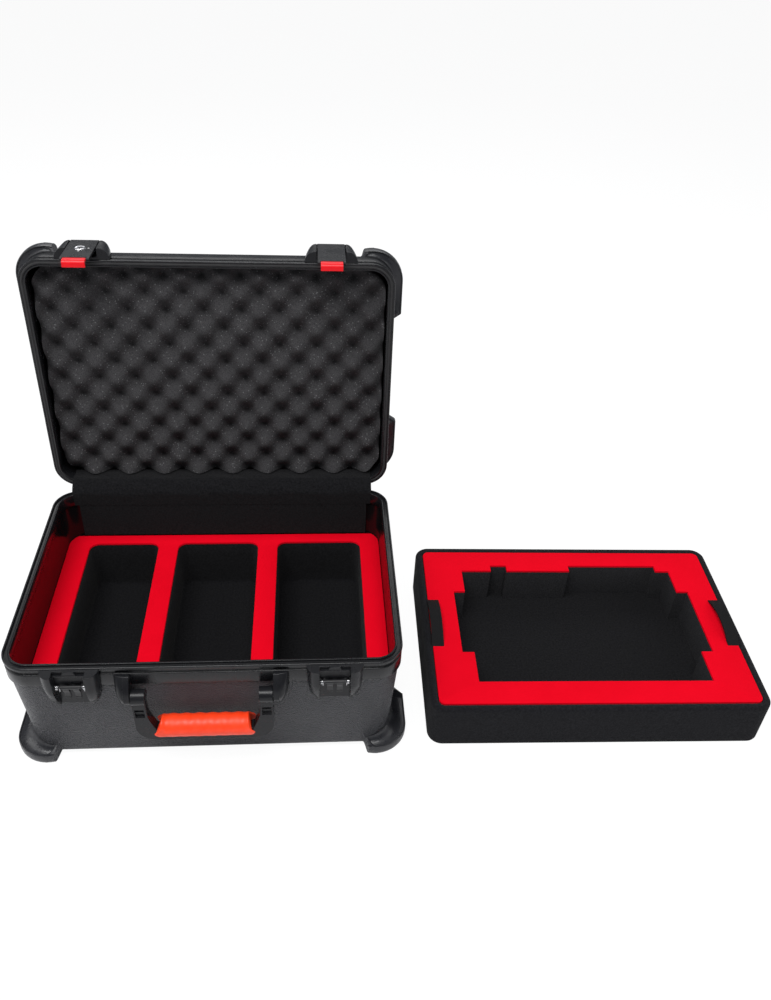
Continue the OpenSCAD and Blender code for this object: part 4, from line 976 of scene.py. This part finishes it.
arm, inner, corner, bar_low = 75.9, 61.4, 22, 58.5
half = ([(arm, 126)] + arc(arm - corner, bar_low + corner, corner, 0, -90, 14))
outline = half + [(-x, z) for x, z in half[::-1]]
inside = [(inner, 126), (inner, 105), (inner - 0.6, 98), (inner - 3, 89), (53, 76)]
outline += [(-x, z) for x, z in inside] + inside[::-1]
bm = bmesh.new()
rows = [[bm.verts.new((x, y, z)) for x, z in outline] for y in (HANDLE_Y - 6, HANDLE_Y + 6)]
grid_faces(bm, rows, close_cols=True)
for r in rows:
    bm.faces.new(r)
cutter = bmesh.new()
for side in (-1, 1):
    x0, x1 = sorted((side * 63.6, side * 73.7))
    block(cutter, (x0, HANDLE_Y - 8, 97.5), (x1, HANDLE_Y - 3, 110.5))
bm = carve(finish_solid(bm), finish_solid(cutter))
for side in (-1, 1):
    x0, x1 = sorted((side * 60.9, side * 75.9))
    rod(bm, x0, x1, HANDLE_Y, HANDLE_Z, 9, 48)
    x0, x1 = sorted((side * 63.2, side * 74.1))
    block(bm, (x0, HANDLE_Y - 5, 105.2), (x1, HANDLE_Y - 2.6, 106.6))
at = Matrix.Translation((HANDLE_X, 0, 0))
soften(make("handle_frame_moulding", finish_solid(bm), "handle", [nylon],
            ["handle_frame"], at), 1.1, 3)

# Grip: orange-red rubber moulded over the bar, round above, flared at its
# ends and foot, with shallow finger hollows along its top and front.
rubber, t, b, xyz = material("orange_rubber", (0.90, 0.055, 0.012), 0.42, specular=0.35)
colour(b, tint(t, noise(t, xyz, 30, 3), (0.84, 0.040, 0.006), (0.94, 0.056, 0.010)))
bump(t, b, noise(t, xyz, 1400, 3), 0.14, 0.0003)
gloss(b, remap(t, noise(t, xyz, 60, 4), 0.3, 0.7, 0.36, 0.52))

GRIP_LEN, GRIP_R, HOLLOW_STEP, HOLLOW, END_FLARE = 112, 13.5, 14.4, 0.4, 2.2
ends = ((14.5, 48.0), (9, 48.3), (6, 49.2), (3.5, 51.2), (1.5, 53.8), (0, 55.0), (-1.5, 55.2),
        (-3.5, 54.6), (-10.6, 50.9), (-14.5, 50.4))


def grip_end(h):
    """Half the grip's length at a height above its axis."""
    for (h1, x1), (h0, x0) in zip(ends, ends[1:]):
        if h >= h0:
            return x0 + (x1 - x0) * (min(h, h1) - h0) / (h1 - h0)
    return ends[-1][1]


bm = bmesh.new()
angles = [-62 + (304 / 56) * k for k in range(57)]
shoulder = [(6.3, -1), (6.3, -11.2), (6.7, -11.7)]
rows = []
stations = [-1 + 2 * k / 168 for k in range(169)]
for u in stations:
    line = []
    fall = max(0.0, (abs(u) - 0.965) / 0.035)
    shrink = 1.3 * (1 - math.sqrt(max(0.0, 1 - fall * fall)))
    for a in angles:
        rad = math.radians(a)
        low = 0.5 - 0.5 * math.sin(rad)
        x = u * grip_end(GRIP_R * math.sin(rad))
        flat_end = min(1, max(0, (abs(x) / (GRIP_LEN / 2) - 0.78) / 0.06))
        wave = -HOLLOW * math.cos(2 * math.pi * x / HOLLOW_STEP) * min(1, (1 - low) * 1.7) * (1 - flat_end)
        near_end, above = max(0.0, (abs(u) - 0.8) / 0.2), max(0.0, math.cos(rad - math.radians(62)))
        flare = END_FLARE * near_end ** 2 * above ** 2
        r = GRIP_R - 1.0 + wave + flare + 0.8 * low ** 2 - shrink
        line.append((x, r * math.cos(rad), r * math.sin(rad)))
    x = u * grip_end(-12)
    lips = [(x, y, z) for y, z in shoulder]
    line = lips + line + [(x, -y, z) for y, z in shoulder[::-1]]
    rows.append([bm.verts.new((HANDLE_X + px, HANDLE_Y - py, GRIP_Z + pz)) for px, py, pz in line])
grid_faces(bm, rows, close_cols=True)
bm.faces.new(rows[0])
bm.faces.new(rows[-1])
make("handle_grip_rubber", finish_solid(bm), "handle", [rubber], ["handle_grip"], crease=50)

# Lid foam: a block of convoluted charcoal foam glued in the lid, its face
# cut into staggered peaks and pits, its edges scalloped by the same cut.
FOAM_W, FOAM_D, FOAM_BACK, FOAM_MID, FOAM_PIT = 413, 282, 203.3, 177, 16
PEAK_STEP, PEAK_ROWS, FOAM_CORNER = 22.5, 12.5, 27


def foam_face(x, y):
    """Height of the cut face at a point, and how much painted shade it gets, more towards the bottom of a
    pit.
    """
    s = math.sin(math.pi * x / PEAK_STEP) * math.sin(math.pi * (y + FOAM_D / 2) / (FOAM_D / PEAK_ROWS))
    pinch = max(0.0, -s) ** 8
    return FOAM_MID - FOAM_PIT / 2 * (0.85 * s - 0.15 * pinch), 0.55 * pinch + 0.08 * (1 - s)


def pulled(x, y, r=FOAM_CORNER):
    """A grid point, drawn in where the block's corner is round."""
    dx, dy = abs(x) - FOAM_W / 2 + r, abs(y) - FOAM_D / 2 + r
    if dx <= 0 or dy <= 0:
        return x, y
    k = max(dx, dy) / math.hypot(dx, dy)
    return (math.copysign(FOAM_W / 2 - r + dx * k, x), math.copysign(FOAM_D / 2 - r + dy * k, y))


bm = bmesh.new()
# Each vertex carries how much painted shade its pit gets, the pits' shadow laid into the colour.
pit_shade_layer = bm.verts.layers.float.new("pit_shade")
nx, ny = ((180, 124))
grid = []
for j in range(ny + 1):
    line = []
    for i in range(nx + 1):
        x, y = pulled(FOAM_W * (i / nx - 0.5), FOAM_D * (j / ny - 0.5))
        height, pit_shade_amount = foam_face(x, y)
        line.append(bm.verts.new((x, y, height)))
        line[-1][pit_shade_layer] = pit_shade_amount
    grid.append(line)
grid_faces(bm, grid)
rim = grid[0][:-1] + [r[-1] for r in grid[:-1]] + grid[-1][:0:-1] + [r[0] for r in grid[:0:-1]]
sides = [rim]
for share in (0.12, 0.5, 1.0):
    sides.append([bm.verts.new((x, y, z + (FOAM_BACK - z) * share)) for x, y, z in (v.co for v in rim)])
grid_faces(bm, sides, close_cols=True)
bm.faces.new(sides[-1])
lid_foam_mat, t, b, xyz = material("convoluted_foam", (0.03, 0.03, 0.032), 0.95, specular=0.05)
pores = cells(t, xyz, 800)
specks = remap(t, cells(t, xyz, 240), 0.09, 0.2, 0.75, 0.0)
grey = tint(t, remap(t, pores, 0.1, 0.6, 0.0, 1.0), (0.017, 0.0165, 0.0175), (0.044, 0.043, 0.045))
mixed = node(t, "ShaderNodeMix")
mixed.data_type = "RGBA"
mixed.inputs["B"].default_value = (0.16, 0.16, 0.165, 1)
t.links.new(specks, mixed.inputs["Factor"])
t.links.new(grey, mixed.inputs["A"])
# Painted shade: the foam's colour is darkened towards the bottom of each pit, standing in for the shadow
# there.
pit_shade = node(t, "ShaderNodeAttribute", attribute_name="pit_shade")
colour(b, tint_by(t, pit_shade.outputs["Fac"], mixed.outputs[2], 0.12))
coarse = bump(t, b, noise(t, xyz, 140, 5, 0.65), 0.4, 0.0015)
bump(t, b, pores, 0.6, 0.0009, coarse)
ob = make("lid_convoluted_foam", finish_solid(bm), "lid", [lid_foam_mat], ["lid_foam"],
          open_matrix(), crease=75)

# Tray: a loose foam tray beside the case. Its wall is a soft board wrapped in
# fleece, rounded along the top.
TRAY_W, TRAY_D, TRAY_H, TRAY_T, TRAY_R = 414, 287, 64, 10, 18
bm = bmesh.new()
profile = [(2.5, 0), (0.7, 0.7), (0, 2.5)] + [(0, z) for z in (12, 24, 36, 48, 59.5)]
bends = [math.radians(a) for a in (20, 40, 60, 80)]
profile += [(4.5 - 4.5 * math.cos(a), 59.5 + 4.5 * math.sin(a)) for a in bends] + [(5.5, 64)]
profile += [(6 + 3.9 * math.sin(a), 60.1 + 3.9 * math.cos(a)) for a in bends]
profile += [(9.9, 58.5), (9.9, 9)]
rows = [row(bm, ring(TRAY_W, TRAY_D, TRAY_R, i, 14), z) for i, z in profile]
grid_faces(bm, rows, close_cols=True)
bm.faces.new(rows[0])
bm.faces.new(rows[-1])
wrap_mat = fleece("black_fleece_wrap", (0.004, 0.004, 0.005), (0.017, 0.017, 0.0195))
ob = make("tray_wrapped_wall", finish_solid(bm), "tray", [wrap_mat], ["tray_wall"],
          tray_matrix(), crease=60)

# The tray's foam block, with a recess cut for a flat floor unit, hand hollows
# at its sides and cable hollows behind, its red facing and its fleece floor.


def recess(i):
    """The recess's outline, moved out by i."""
    corners = [(145.5, -99.75), (145.5, -52.26), (160.5, -52.26), (160.5, 55.26), (145.5, 55.26),
               (145.5, 95.75), (127.2, 95.75), (127.2, 106.25), (4.95, 106.25), (4.95, 95.75),
               (-82.64, 95.75), (-82.64, 106.25), (-104.76, 106.25), (-104.76, 95.75), (-145.5, 95.75),
               (-145.5, 55.26), (-160.5, 55.26), (-160.5, -52.26), (-145.5, -52.26), (-145.5, -99.75)]
    out = []
    for k, (x, y) in enumerate(corners):
        (ax, ay), (bx, by) = corners[k - 1], corners[(k + 1) % len(corners)]
        d0 = (math.copysign(1, x - ax) if x != ax else 0, math.copysign(1, y - ay) if y != ay else 0)
        d1 = (math.copysign(1, bx - x) if x != bx else 0, math.copysign(1, by - y) if y != by else 0)
        out.append((x + i * (d0[1] + d1[1]), y - i * (d0[0] + d1[0])))
    return out


def tray_ring(z, i):
    return ring(TRAY_W - 2 * TRAY_T - 0.2, TRAY_D - 2 * TRAY_T - 0.2, TRAY_R - TRAY_T, i)


TRAY_FLOOR = 12
bm = plate(tray_ring, [recess], (8.2,), TRAY_H - FACING, 0.3, TRAY_FLOOR - 1.5)
ob = make("tray_foam_block", bm, "tray", [foam_mat], ["tray_foam"], tray_matrix())
bm = plate(tray_ring, [recess], (TRAY_H - FACING,), TRAY_H, 0.7)
ob = make("tray_red_facing", bm, "tray", [red_mat], ["tray_facing"], tray_matrix())
bm = bmesh.new()
rows = [row(bm, recess(i), z) for z, i in ((10.6, -0.3), (11.7, -0.3), (12, -0.6))]
grid_faces(bm, rows, close_cols=True)
fill(bm, [rows[0]], False)
fill(bm, [rows[-1]], True)
ob = make("tray_floor_fleece", finish_solid(bm), "tray", [fleece_mat], ["tray_lining"],
          tray_matrix())

# Pull straps: two arches of black webbing, their ends tucked down between the
# tray's wall and its facing.
STRAP_W, STRAP_REACH, STRAP_RISE, STRAP_T = 15, 45, 12, 2.2
web_mat, t, b, xyz = material("black_webbing", (0.008, 0.008, 0.0085), 0.75, specular=0.15)
ribs = node(t, "ShaderNodeTexWave", Scale=420)
ribs.bands_direction = "Y"
t.links.new(xyz, ribs.inputs["Vector"])
cross = node(t, "ShaderNodeTexWave", Scale=260)
cross.bands_direction = "X"
t.links.new(xyz, cross.inputs["Vector"])
weave = blend_value(t, ribs.outputs["Fac"], cross.outputs["Fac"], "MULTIPLY")
colour(b, tint(t, weave, (0.003, 0.003, 0.0035), (0.014, 0.014, 0.015)))
bump(t, b, weave, 0.5, 0.0006)
for name, side in (("left", -1), ("right", 1)):
    x0 = side * (394 / 2 - 7.5 + 1)
    radius = (STRAP_REACH * STRAP_REACH + STRAP_RISE * STRAP_RISE) / (2 * STRAP_RISE)
    path = []
    for k in range(25):
        y = -STRAP_REACH * math.cos(math.pi * k / 24)
        z = TRAY_H + STRAP_RISE - radius + math.sqrt(radius * radius - y * y)
        path.append((y - 2, z - STRAP_T))
    path.reverse()
    bm = strip(path, STRAP_W, STRAP_T, 8)
    bm.transform(Matrix.Translation((x0, 0, 0)))
    ob = make("strap_" + name + "_webbing", bm, "tray", [web_mat], ["pull_strap_" + name],
              tray_matrix(), crease=50)
